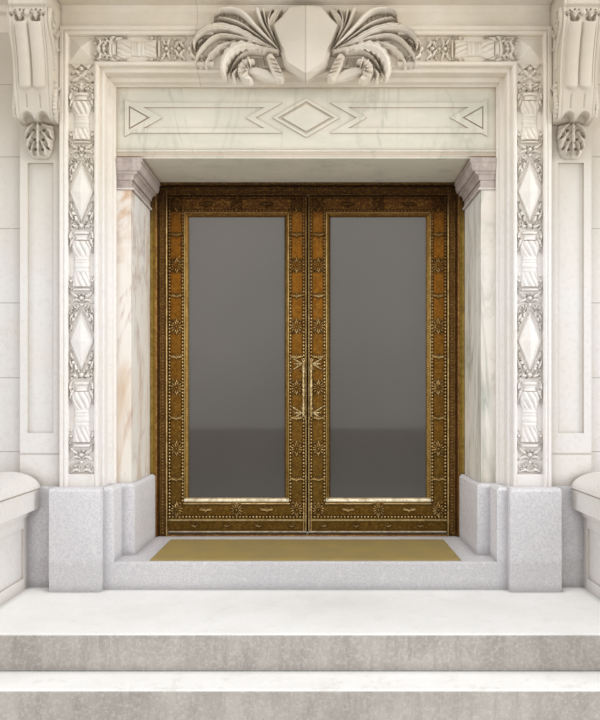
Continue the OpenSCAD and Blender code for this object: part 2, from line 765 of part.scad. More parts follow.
// A large rosette and a small boss, both facing outwards from the panel
module rosette() {
    rotate([90, 0, 0]) rotate_extrude() polygon(concat([[0, 0], [rosette_r, 0], [rosette_r, 2]],
        arc([rosette_r - 5, 3], 5, 0, 120, 3), [[rosette_r - 12, 4]],
        arc([rosette_r - 18, 6], 6, 30, 150, 4), [[8, 5]], arc([0, 5], 8, 0, 90, 5)));
}

module boss() {
    rotate([90, 0, 0]) rotate_extrude() polygon(concat([[0, 0]],
        arc([0, 0], boss_r, 0, 90, 6) * [[1, 0], [0, 0.4]]));
}

module hinge_stile(side) {
    mid = (pane_bottom + pane_top) / 2;
    color("darkgoldenrod") on_side(side) difference() {
        union() {
            translate([pane_outer, 0, mid]) band(pane_h);
            stile_rosettes(pane_outer + panel_mid);
            for (z = hinge_heights) leaf_knuckle(z);
        }
        for (z = hinge_heights) {
            translate([hinge_x, hinge_y, z])
                cylinder(r = pin_r + pin_fit, h = knuckle_h + 2, center = true);
        }
    }
}

// The leaf's knuckle with its strap
module leaf_knuckle(z) {
    translate([hinge_x, hinge_y, z]) cylinder(r = knuckle_r, h = knuckle_h, center = true);
    block([hinge_x - 46, leaf_t + 1.5, z - knuckle_h / 2], [hinge_x, leaf_t + 5, z + knuckle_h / 2]);
    block([hinge_x - 46, leaf_t - 1, z - knuckle_h / 2], [hinge_x - 5, leaf_t + 5, z + knuckle_h / 2]);
}

// Rosettes up a stile, the corner ones included, with a boss between each pair
module stile_rosettes(x) {
    low = pane_bottom - panel_mid;
    high = pane_top + panel_mid;
    pitch = (high - low) / round((high - low) / rosette_pitch);
    for (z = [low:pitch:high + 1]) translate([x, panel_sink, z]) rosette();
    for (z = [low + pitch / 2:pitch:high]) translate([x, panel_sink, z]) boss();
}

// Rosette and bosses along a rail
module rail_rosettes(z) {
    x = (pane_inner + pane_outer) / 2;
    translate([x, panel_sink, z]) rosette();
    for (side = [left, right]) translate([x + side * rosette_pitch / 2, panel_sink, z]) boss();
}

module meeting_stile(side) {
    mid = (pane_bottom + pane_top) / 2;
    color("darkgoldenrod") on_side(side) union() {
        translate([pane_inner, 0, mid]) mirror([1, 0, 0]) band(pane_h);
        stile_rosettes(pane_inner - panel_mid);
    }
}

module top_rail(side) {
    color("darkgoldenrod") on_side(side) union() {
        translate([(pane_inner + pane_outer) / 2, 0, pane_top]) rotate([0, -90, 0]) band(pane_w);
        rail_rosettes(pane_top + panel_mid);
    }
}

module bottom_rail(side) {
    z0 = leaf_bottom;
    z1 = pane_bottom - band_w;
    color("darkgoldenrod") on_side(side) union() {
        translate([(pane_inner + pane_outer) / 2, 0, pane_bottom]) rotate([0, 90, 0]) band(pane_w);
        rail_rosettes(pane_bottom - panel_mid);
        along_x(meeting_gap, leaf_outer) polygon([[0, z0], [0, z0 + 26], [panel_sink, z0 + 26],
            [panel_sink, z1 - 13], [0, z1 - 13], [0, z1], [leaf_t, z1], [leaf_t, z0]]);
        along_x(meeting_gap + 4, stop_inner - frame_gap) polygon([[1, z0 + 4], [0, z0 + 5],
            [-5, z0 + 9], [-5, z0 + 18], [0, z0 + 22], [1, z0 + 22]]);
        for (x = [pane_inner - 50, (pane_inner + pane_outer) / 2 + 70])
            translate([x, panel_sink, (z0 + z1 + 13) / 2]) boss();
    }
}

module glass(side) {
    color("slategray", 0.6) on_side(side)
        block([pane_inner - glass_bite, glass_y - glass_t / 2, pane_bottom - glass_bite],
              [pane_outer + glass_bite, glass_y + glass_t / 2, pane_top + glass_bite]);
}

// Pull handle on the outer bead row of a meeting stile
module pull(side) {
    x = pane_inner - bead_mid;
    z = sill_top + pull_rise;
    post_r = 7;
    color("gold") on_side(side) union() {
        translate([x, -pull_reach, z]) cylinder(r = pull_r, h = pull_l, center = true);
        for (up = [left, right]) {
            translate([x, panel_sink, z + up * (pull_l / 2 - 14)]) rotate([90, 0, 0])
                cylinder(r = post_r, h = pull_reach + panel_sink);
            translate([x, -pull_reach, z + up * pull_l / 2]) sphere(r = 9);
        }
    }
}

lower_step();
landing();
sill();
plinth(left);  // plinth_left
plinth(right);  // plinth_right
reveal_plinth(left);  // reveal_plinth_left
reveal_plinth(right);  // reveal_plinth_right
pilaster(left);  // pilaster_left
pilaster(right);  // pilaster_right
capital(left);  // capital_left
capital(right);  // capital_right
lintel();
architrave_side(left);  // architrave_left
architrave_side(right);  // architrave_right
architrave_head();
outer_pilaster(left);  // outer_pilaster_left
outer_pilaster(right);  // outer_pilaster_right
console(left);  // console_left
console(right);  // console_right
shield();
acanthus(left);  // acanthus_left
acanthus(right);  // acanthus_right
frieze();
cornice();
wall(left);  // wall_left
wall(right);  // wall_right
cheek_wall(left);  // cheek_wall_left
cheek_wall(right);  // cheek_wall_right
entrance_mat();
door_frame_side(left);  // door_frame_left
door_frame_side(right);  // door_frame_right
door_frame_head();
threshold();
hinge_stile(left);  // left_hinge_stile
meeting_stile(left);  // left_meeting_stile
top_rail(left);  // left_top_rail
bottom_rail(left);  // left_bottom_rail
glass(left);  // left_glass
pull(left);  // left_pull
hinge_stile(right);  // right_hinge_stile
meeting_stile(right);  // right_meeting_stile
top_rail(right);  // right_top_rail
bottom_rail(right);  // right_bottom_rail
glass(right);  // right_glass
pull(right);  // right_pull
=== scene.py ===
"""Looks of a pair of glazed bronze swing doors in a carved marble doorway with granite steps."""
import math

import bpy
import numpy as np
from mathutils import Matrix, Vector


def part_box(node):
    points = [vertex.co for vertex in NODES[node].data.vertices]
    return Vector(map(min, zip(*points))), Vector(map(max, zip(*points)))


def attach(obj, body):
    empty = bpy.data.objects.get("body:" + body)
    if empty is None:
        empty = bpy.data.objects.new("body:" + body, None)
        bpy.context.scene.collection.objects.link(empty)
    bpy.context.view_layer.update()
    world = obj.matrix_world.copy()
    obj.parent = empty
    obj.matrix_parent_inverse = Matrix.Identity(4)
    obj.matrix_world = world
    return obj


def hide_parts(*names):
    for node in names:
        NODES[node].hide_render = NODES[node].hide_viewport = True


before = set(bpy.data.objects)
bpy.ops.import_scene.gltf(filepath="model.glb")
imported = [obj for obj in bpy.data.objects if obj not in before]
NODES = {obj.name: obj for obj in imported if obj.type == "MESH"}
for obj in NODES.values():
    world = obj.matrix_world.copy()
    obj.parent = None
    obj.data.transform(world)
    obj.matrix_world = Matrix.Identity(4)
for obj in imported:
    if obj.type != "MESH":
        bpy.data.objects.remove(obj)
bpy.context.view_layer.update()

# The camera stands on the axis of the steps, a man's height above the sill
EYE = (0.075, -5.5, 1.53)
LENS = 38.75
SHIFT_X = -0.025
SHIFT_Y = 0.0486


# Materials

class Nodes:
    """Shader nodes in one tree, made and linked."""

    def __init__(self, tree):
        self.tree = tree

    def add(self, kind, inputs=None, **settings):
        """A new node, with its settings, constants and links."""
        node = self.tree.nodes.new("ShaderNode" + kind)
        for key, value in settings.items():
            setattr(node, key, value)
        for key, value in (inputs or {}).items():
            self.put(node.inputs[key], value)
        return node

    def put(self, socket, value):
        """Links a socket, or sets its constant."""
        if isinstance(value, bpy.types.NodeSocket):
            self.tree.links.new(value, socket)
        elif socket.type == "RGBA":
            socket.default_value = (*value, 1)
        else:
            socket.default_value = value

    def sum(self, a, b, operation="ADD"):
        """Two values joined by an operation."""
        return self.add("Math", {0: a, 1: b}, operation=operation).outputs[0]

    def span(self, value, low, high, start=0, end=1):
        """A value mapped from one range to another and clamped."""
        return self.add("MapRange", {"Value": value, "From Min": low, "From Max": high,
                                     "To Min": start, "To Max": end}).outputs["Result"]


class Finish(Nodes):
    """A procedural material whose nodes read the object's own metres; colours are laid over its body."""

    def __init__(self, name, roughness=0.5, specular=0.5, metallic=0):
        self.material = bpy.data.materials.new(name)
        self.material.use_nodes = True
        super().__init__(self.material.node_tree)
        self.shader = self.tree.nodes["Principled BSDF"]
        for key, value in (("Roughness", roughness), ("Metallic", metallic), ("Specular IOR Level", specular)):
            self.shader.inputs[key].default_value = value
        self.place = self.add("TexCoord").outputs["Object"]
        self.across, self.along, self.height = self.add("SeparateXYZ", {"Vector": self.place}).outputs
        self.body = None

    def stretched(self, scale, turn=(0, 0, 0)):
        """The object's coordinates, scaled and turned."""
        return self.add("Mapping", {"Vector": self.place, "Scale": scale, "Rotation": turn}).outputs[0]

    def facing(self, axis):
        """How far the surface faces along an axis."""
        return self.add("SeparateXYZ", {"Vector": self.add("NewGeometry").outputs["Normal"]}).outputs[axis]

    def noise(self, scale, detail=4, roughness=0.5, vector=None, warp=0):
        """Cloudy noise from 0 to 1."""
        return self.add("TexNoise", {"Vector": vector or self.place, "Scale": scale, "Detail": detail,
                                     "Roughness": roughness, "Distortion": warp}).outputs["Fac"]

    def cells(self, scale):
        """Distance to the nearest of many scattered places."""
        return self.add("TexVoronoi", {"Vector": self.place, "Scale": scale}).outputs["Distance"]

    def times(self, a, b):
        """The product of two values."""
        return self.sum(a, b, "MULTIPLY")

    def size(self, value):
        """A value without its sign."""
        return self.sum(value, 0, "ABSOLUTE")

    def mix(self, share, a, b):
        """Two colours mixed by a share."""
        return self.add("Mix", {0: share, 6: a, 7: b}, data_type="RGBA").outputs[2]

    def over(self, share, colour, strength=None):
        """Lays a colour over the body by a share, weakened where a strength is given."""
        self.body = self.mix(share if strength is None else self.times(share, strength), self.body, colour)

    def cloudy(self, scale, detail, roughness, low, high, a, b):
        """Makes the body from two colours, mixed where the noise passes from low to high."""
        self.body = self.mix(self.span(self.noise(scale, detail, roughness), low, high), a, b)

    def spots(self, scale, detail, roughness, low, high, most, colour):
        """Cloudy spots of a colour, where the noise passes from low to high."""
        self.over(self.span(self.noise(scale, detail, roughness), low, high, 0, most), colour)

    def line(self, value, centre, width):
        """A soft line from 0 to 1 where the value passes the centre."""
        return self.span(self.size(self.sum(value, centre, "SUBTRACT")), 0, width, 1, 0)

    def level(self, height, width, colour, strength=None):
        """A soft line of a colour all round at one height."""
        self.over(self.line(self.height, height, width), colour, strength)

    def uneven_height(self, scale, detail, rise):
        """The height, made wavy by noise."""
        return self.sum(self.height, self.times(self.noise(scale, detail), rise))

    def recess(self, distance, low=0.35, high=0.95):
        """How deep a point lies in a recess, from 0 in the open to 1."""
        open_sky = self.add("AmbientOcclusion", {"Distance": distance}, samples=6).outputs["AO"]
        return self.span(open_sky, low, high, 1, 0)

    def bump(self, height, distance, under=None):
        """A bump, on top of another one where there is one."""
        below = {"Normal": under} if under else {}
        return self.add("Bump", {"Height": height, "Distance": distance, **below}).outputs["Normal"]

    def done(self, normal=None, roughness=None):
        """Joins the body, bump and roughness to the shader."""
        for key, value in (("Base Color", self.body), ("Normal", normal), ("Roughness", roughness)):
            if value:
                self.put(self.shader.inputs[key], value)
        return self.material


def veined(finish, scale, turn, width):
    """Thin wandering veins from 0 to 1 that follow one direction."""
    place = finish.stretched((scale, scale, scale * 0.28), turn)
    drift = finish.noise(1, 7, 0.58, place, 1.6)
    fade = finish.span(finish.noise(2.3, 2, 0.5, place), 0.42, 0.66)
    return finish.times(finish.line(drift, 0.5, width), fade)


def stone_bump(finish):
    """A dressed stone surface: fine grain over slow waves."""
    return finish.bump(finish.noise(420, 3, 0.7), 0.0006, finish.bump(finish.noise(14, 3), 0.0012))


def carved_stone(name="carved_stone", shade_and_grime=0.28):
    """The surround: cream above, weathered near-white below, with painted shade and soiling in its recesses."""
    f = Finish(name, 0.72, 0.3)
    f.body = f.mix(f.span(f.uneven_height(1.3, 3, 0.8), 2.7, 3.9), (0.8, 0.772, 0.75), (0.705, 0.628, 0.505))
    f.spots(3.1, 5, 0.6, 0.42, 0.7, 0.5, (0.82, 0.765, 0.69))
    f.spots(7.3, 6, 0.66, 0.54, 0.74, 0.3, (0.66, 0.63, 0.6))
    f.spots(34, 5, 0.72, 0.5, 0.68, 0.3, (0.62, 0.56, 0.49))
    # Painted shade, with some soiling: the recesses are darkened to brown by the given share.
    f.over(f.recess(0.035, 0.25, 0.8), (0.37, 0.3, 0.22), shade_and_grime)
    joint = f.times(f.line(f.across, -0.664, 0.0045), f.span(f.height, 3.474, 3.476, 0, 0.8))
    f.over(f.sum(joint, f.line(f.size(f.across), 1.494, 0.005), "MAXIMUM"), (0.3, 0.24, 0.18), 0.6)
    return f.done(stone_bump(f))


def wall_stone(name, courses=(), middle=0, high=(0.545, 0.48, 0.38)):
    """Plain ashlar, with joints at the given heights and a line up its middle where one is asked for."""
    f = Finish(name, 0.75, 0.3)
    f.body = f.mix(f.span(f.uneven_height(1.3, 3, 0.8), 2.6, 3.7), (0.73, 0.708, 0.686), high)
    f.spots(2.2, 5, 0.6, 0.45, 0.72, 0.4, (0.72, 0.65, 0.57))
    f.spots(34, 5, 0.72, 0.5, 0.68, 0.3, (0.56, 0.5, 0.43))
    joints = f.times(f.line(f.across, 0, 0.0045), middle)
    for height in courses:
        joints = f.sum(f.line(f.height, height, 0.004), joints, "MAXIMUM")
    f.over(joints, (0.42, 0.37, 0.31), 0.6)
    # Painted shade: recesses are darkened to brown.
    f.over(f.recess(0.08), (0.4, 0.34, 0.27), 0.6)
    return f.done(f.bump(joints, -0.003, stone_bump(f)))


def reveal_marble(name, vein, streak, patch):
    """Polished marble slabs of the reveals, with a stained patch two thirds of the way up; painted light makes their
    side faces paler than their fronts, and painted shade darkens their recesses.
    """
    f = Finish(name, 0.34)
    cloud = f.span(f.noise(1.7, 5, 0.6), 0.35, 0.7)
    inner = f.mix(cloud, (0.95, 0.935, 0.895), (0.92, 0.875, 0.795))
    front = f.mix(cloud, (0.85, 0.815, 0.77), (0.79, 0.715, 0.615))
    # Painted light: faces that look across the doorway get a paler colour than the faces that look out.
    f.body = f.mix(f.span(f.size(f.facing("Y")), 0.3, 0.8), inner, front)
    f.over(veined(f, 2.3, (0.3, 0.5, 0.2), 0.075), vein, 0.9)
    f.over(veined(f, 5.1, (0.9, 0.2, 0.5), 0.055), streak, 0.75)
    f.over(f.times(f.span(f.noise(5.5, 7, 0.72), 0.5, 0.66), f.line(f.height, 2.45, 0.42)), patch, 0.8)
    # Painted shade in the recesses.
    f.over(f.recess(0.05), (0.42, 0.36, 0.3), 0.5)
    return f.done(f.bump(f.noise(9, 2), 0.0006))


def lintel_marble():
    """Greenish cream marble with soft diagonal clouds, and painted shade with brown soiling in its recesses."""
    f = Finish("lintel_marble", 0.38)
    cloud = f.noise(2.6, 6, 0.62, f.stretched((1, 1.4, 3.2), (0, 0.6, 0.1)))
    f.body = f.mix(f.span(cloud, 0.34, 0.68), (0.745, 0.69, 0.575), (0.635, 0.61, 0.505))
    f.over(veined(f, 3.4, (0.2, 1.1, 0.3), 0.05), (0.42, 0.42, 0.34), 0.5)
    # Painted shade, with brown soiling: the recesses are darkened.
    f.over(f.recess(0.03), (0.34, 0.235, 0.13), 0.85)
    f.level(3.05, 0.012, (0.46, 0.31, 0.22), 0.75)
    f.level(3.079, 0.006, (0.3, 0.22, 0.16), 0.7)
    return f.done(f.bump(f.noise(11, 2), 0.0006))


def capital_marble():
    """Brown-violet weathered marble of the capitals, with painted shade in its recesses and a painted highlight along
    one moulding.
    """
    f = Finish("capital_marble", specular=0.4)
    f.cloudy(9, 6, 0.66, 0.36, 0.66, (0.55, 0.47, 0.42), (0.36, 0.29, 0.27))
    f.over(veined(f, 8, (0.4, 0.1, 0.7), 0.06), (0.7, 0.62, 0.54), 0.6)
    # Painted shade: near-black in the recesses of the mouldings.
    f.over(f.recess(0.025), (0.12, 0.09, 0.07), 0.9)
    # Painted highlight: a thin pale line along a moulding.
    f.level(2.836, 0.006, (0.86, 0.82, 0.76), 0.7)
    return f.done(stone_bump(f))


def granite():
    """Light grey granite with fine mica."""
    f = Finish("granite", 0.62, 0.4)
    f.cloudy(1.9, 3, 0.5, 0.3, 0.7, (0.71, 0.695, 0.72), (0.8, 0.785, 0.795))
    f.over(f.span(f.height, 0.525, 0.56, 0.42, 0), (0.53, 0.51, 0.505))
    f.spots(64, 6, 0.8, 0.48, 0.56, 0.5, (0.5, 0.49, 0.54))
    f.spots(27, 5, 0.75, 0.54, 0.64, 0.35, (0.9, 0.89, 0.89))
    f.spots(150, 4, 0.7, 0.52, 0.6, 0.7, (0.84, 0.83, 0.83))
    f.over(f.span(f.cells(240), 0.1, 0.24, 0.55, 0), (0.2, 0.19, 0.21))
    # Painted shade in the recesses.
    f.over(f.recess(0.06), (0.26, 0.25, 0.26), 0.6)
    return f.done(f.bump(f.noise(70, 5, 0.8), 0.003))


def step_stone():
    """Worn pale steps with rain streaks down their fronts; painted shade makes the fronts much darker than the
    near-white treads.
    """
    f = Finish("step_stone", 0.68, 0.3)
    broad = f.noise(1, 5, 0.65, f.stretched((4, 4, 3)))
    f.body = f.mix(f.span(broad, 0.36, 0.64), (0.5, 0.465, 0.425), (0.385, 0.352, 0.32))
    streaks = f.noise(1, 6, 0.72, f.stretched((24, 24, 3.4)))
    f.over(f.span(streaks, 0.48, 0.7, 0, 0.6), (0.29, 0.26, 0.235))
    f.level(0.184, 0.0045, (0.09, 0.08, 0.07))
    f.spots(62, 5, 0.75, 0.48, 0.64, 0.45, (0.66, 0.63, 0.59))
    f.spots(130, 3, 0.7, 0.56, 0.7, 0.4, (0.25, 0.225, 0.205))
    riser = f.body
    f.cloudy(2.4, 6, 0.65, 0.42, 0.78, (0.955, 0.95, 0.94), (0.87, 0.86, 0.84))
    f.spots(160, 3, 0.7, 0.55, 0.66, 0.35, (0.52, 0.5, 0.48))
    worn = f.span(f.along, -1.8, -1.7, 0.5, 0.18)
    f.over(f.times(f.span(f.noise(9, 6, 0.75), 0.54, 0.68), worn), (0.66, 0.62, 0.57))
    # Painted shade: surfaces that face up take the pale tread colour, the fronts the darker riser colour.
    f.body = f.mix(f.span(f.facing("Z"), 0.3, 0.8), riser, f.body)
    # Painted shade in the recesses.
    f.over(f.recess(0.05), (0.25, 0.23, 0.21), 0.6)
    return f.done(f.bump(f.noise(230, 3, 0.7), 0.0008, f.bump(f.noise(6, 3), 0.002)))


def outside(f, value, middle, half):
    """How far a value lies beyond a half width about a middle."""
    return f.sum(f.size(f.sum(value, middle, "SUBTRACT")), half, "SUBTRACT")


def patina(f, patina_shade_reach=0.012, share=0.9, shade=0.55):
    """Mottled brown over the bronze, and near-black in its recesses, partly patina and partly painted shade."""
    f.spots(26, 6, 0.68, 0.42, 0.66, shade, (0.08, 0.033, 0.006))
    f.spots(70, 4, 0.6, 0.5, 0.64, 0.35, (0.4, 0.22, 0.045))
    # Near-black in the recesses: patina together with painted shade.
    f.over(f.recess(patina_shade_reach, 0.3, 0.9), (0.018, 0.008, 0.003), share)


def leaf_bronze():
    """The leaves: orange panels, dark bead channels, a gilt bar round the glass and a top rail darkened by painted
    shade below the soffit.
    """
    f = Finish("leaf_bronze", 0.42, 0.2, 0.8)
    f.body = f.mix(f.span(f.uneven_height(2, 4, 0.9), 1.5, 2.8), (0.14, 0.076, 0.013), (0.28, 0.104, 0.009))
    inner = f.size(f.across)
    away = f.sum(outside(f, inner, PANE_MIDDLE[0], PANE_HALF[0]), outside(f, f.height, PANE_MIDDLE[1], PANE_HALF[1]),
                 "MAXIMUM")
    lip = f.span(away, 0.031, 0.034, 1, 0)
    f.over(lip, (0.165, 0.098, 0.022))
    f.over(f.line(away, 0.0275, 0.0045), (0.74, 0.56, 0.24), f.span(f.height, 0.9, 1.9, 0.25, 0.85))
    f.over(f.span(inner, 0.026, 0.034, 0.75, 0), (0.06, 0.043, 0.026))
    for offset in ROW_OFFSETS:
        f.over(f.line(away, offset, 0.013), (0.04, 0.018, 0.005), 0.95)
    f.over(f.line(away, 0.153, 0.005), (0.5, 0.36, 0.13))
    f.level(0.785, 0.018, (0.92, 0.86, 0.66), lip)
    f.level(0.56, 0.007, (0.92, 0.86, 0.68))
    f.level(0.641, 0.006, (0.72, 0.6, 0.34))
    # Painted shade: the top of the leaf darkens upwards, as if in the shadow of the soffit.
    f.over(f.span(f.height, 2.45, 2.84), (0.12, 0.04, 0.008), 0.55)
    f.over(f.span(f.height, 2.78, 2.86), (0.052, 0.02, 0.007), 0.9)
    patina(f)
    return f.done(f.bump(f.noise(90, 4, 0.6), 0.0006), f.span(f.noise(34, 5, 0.6), 0.3, 0.7, 0.34, 0.56))


def gilding(name, bright, worn, roughness=0.34):
    """Brighter gilt of the raised ornament, worn to brown in places and shaded below the soffit."""
    f = Finish(name, roughness, 0.2, 0.85)
    f.cloudy(18, 5, 0.65, 0.38, 0.64, bright, worn)
    f.over(f.span(f.height, 2, 2.6), (0.22, 0.11, 0.025), 0.72)
    f.over(f.span(f.height, 2.76, 2.86), (0.062, 0.026, 0.009), 0.9)
    patina(f, 0.0035, 0.85, 0.25)
    return f.done(f.bump(f.noise(160, 3, 0.6), 0.0003),
                  f.span(f.noise(40, 4), 0.3, 0.7, roughness - 0.06, roughness + 0.14))


def frame_bronze():
    """The fixed frame: dark brown with worn gold edges, and painted shade over its upper part below the soffit."""
    f = Finish("frame_bronze", 0.45, 0.2, 0.75)
    beside = f.size(f.across)
    f.cloudy(9, 5, 0.6, 0.35, 0.7, (0.15, 0.068, 0.018), (0.085, 0.038, 0.012))
    f.over(f.line(beside, 0.996, 0.008), (0.7, 0.52, 0.22))
    f.over(f.line(beside, 1.04, 0.004), (0.3, 0.17, 0.05))
    f.over(f.span(beside, 1.07, 1.078), (0.33, 0.22, 0.04))
    f.over(f.line(beside, 1.082, 0.004), (0.1, 0.055, 0.012))
    f.over(f.line(beside, 1.102, 0.004), (0.62, 0.5, 0.24))
    f.spots(60, 4, 0.6, 0.52, 0.64, 0.3, (0.4, 0.24, 0.08))
    # Painted shade: the upper frame darkens towards the soffit.
    f.over(f.span(f.height, 2.68, 2.9), (0.042, 0.019, 0.009), 0.9)
    patina(f, 0.015)
    return f.done(f.bump(f.noise(90, 4, 0.6), 0.0006))


def brush():
    """The dark pile of the seals between the leaves."""
    f = Finish("seal_brush", 0.9, 0.2)
    hair = f.noise(600, 3, 0.7, f.stretched((1, 1, 0.2)))
    f.body = f.mix(hair, (0.022, 0.014, 0.008), (0.06, 0.04, 0.024))
    return f.done(f.bump(hair, 0.001))


def pane():
    """Dark reflective glass, painted a little lighter above as a reflection."""
    f = Finish("pane_glass", 0.04, 0.8)
    # Painted reflection: the glass lightens upwards.
    f.body = f.mix(f.span(f.uneven_height(0.9, 2, 0.8), 1.1, 3.1), (0.048, 0.04, 0.033), (0.155, 0.14, 0.122))
    return f.done()


def coir():
    """Golden coconut fibre."""
    f = Finish("mat_coir", 0.95, 0.15)
    fibre = f.noise(900, 3, 0.8)
    f.cloudy(6, 4, 0.5, 0.3, 0.7, (0.5, 0.37, 0.125), (0.42, 0.325, 0.15))
    f.over(f.span(fibre, 0.42, 0.62, 0, 0.7), (0.22, 0.155, 0.05))
    return f.done(f.bump(fibre, 0.003))


# Meshes

PATH_PLACES = 28
# Depth inside an outline where nothing is drawn
FAR_OUTSIDE = -1000


def cos_sin(degrees):
    """The cosine and sine of an angle."""
    return math.cos(math.radians(degrees)), math.sin(math.radians(degrees))


def mirrored(form):
    """A form seen in the mirror X = 0."""
    return form[0] * (-1, 1, 1), [face[::-1] for face in form[1]]


def turned_flat(form, degrees):
    """A form turned in the plane of the wall, as a clock hand turns backwards."""
    c, s = cos_sin(degrees)
    x, y, z = form[0].T
    return np.column_stack([x * c - z * s, y, x * s + z * c]), form[1]


def ring_faces(rows, segments):
    """Quads between rings of points, one ring after another."""
    pairs = [(row * segments, k, (k + 1) % segments) for row in range(rows - 1) for k in range(segments)]
    return [[low + a, low + b, low + segments + b, low + segments + a] for low, a, b in pairs]


def circle(segments):
    """Even angles round a circle."""
    return np.linspace(0, 2 * math.pi, segments, endpoint=False)


def dome(radius, height, segments=8, long=1):
    """A low dome that faces -Y, longer upwards where long is above 1, closed at its back."""
    points = []
    for lift in (0, math.pi / 4):
        reach, front = radius * math.cos(lift), -height * math.sin(lift)
        points += [(reach * math.cos(a), front, long * reach * math.sin(a)) for a in circle(segments)]
    points.append((0, -height, 0))
    tip = [[segments + k, segments + (k + 1) % segments, 2 * segments] for k in range(segments)]
    return np.array(points), ring_faces(2, segments) + tip + [list(range(segments))[::-1]]


def tube(rings):
    """A closed tube through rings of points, bottom first."""
    segments = len(rings[0])
    top = (len(rings) - 1) * segments
    ends = [list(range(segments))[::-1], list(range(top, top + segments))]
    return np.concatenate(rings), ring_faces(len(rings), segments) + ends


def turned_rod(stations, segments, lobes=0, depth=0, twist=0):
    """A closed upright rod from (height, radius) stations, its section lobed and twisted."""
    angles = circle(segments)
    rings = []
    for z, radius in stations:
        wide = radius * (1 + depth * np.cos(lobes * angles - twist * z))
        rings.append(np.column_stack([wide * np.cos(angles), wide * np.sin(angles), np.full(segments, z)]))
    return tube(rings)


def smooth_path(points):
    """Evenly numbered places on a Catmull-Rom curve through the points."""
    points = np.asarray(points, dtype=float)
    ends = np.vstack([2 * points[0] - points[1], points, 2 * points[-1] - points[-2]])
    places = []
    for at in np.linspace(0, len(points) - 1, PATH_PLACES):
        k = min(int(at), len(points) - 2)
        t = at - k
        a, b, c, d = ends[k:k + 4]
        places.append(0.5 * (2 * b + (c - a) * t + (2 * a - 5 * b + 4 * c - d) * t ** 2
                             + (3 * b - a - 3 * c + d) * t ** 3))
    return np.array(places)


def along(path, x, z):
    """How far along a path each place lies, from 0 to 1, and how far to its side."""
    steps = np.hypot(*(path[1:] - path[:-1]).T)
    starts = np.concatenate([[0], np.cumsum(steps)])
    nearest = np.full(x.shape, np.inf)
    share, aside = np.zeros(x.shape), np.zeros(x.shape)
    for k, step in enumerate(steps):
        (ax, az), (bx, bz) = path[k], path[k + 1]
        t = np.clip(((x - ax) * (bx - ax) + (z - az) * (bz - az)) / step ** 2, 0, 1)
        dx, dz = x - ax - t * (bx - ax), z - az - t * (bz - az)
        away = np.hypot(dx, dz)
        closer = away < nearest
        nearest = np.where(closer, away, nearest)
        share = np.where(closer, (starts[k] + t * step) / starts[-1], share)
        aside = np.where(closer, np.where((bx - ax) * dz - (bz - az) * dx < 0, -away, away), aside)
    return share, aside


def share_of(value):
    """A value kept between 0 and 1."""
    return np.clip(value, 0, 1)


# The four corners of the cells of a grid, in turn
CORNERS = (np.s_[:-1, :-1], np.s_[:-1, 1:], np.s_[1:, 1:], np.s_[1:, :-1])


def shell(quads, rim, count):
    """Faces of a closed form of count points in front and as many behind, with walls along the rim."""
    walls = np.hstack([rim[:, ::-1], rim + count])
    return quads.tolist() + (quads[:, ::-1] + count).tolist() + walls.tolist()


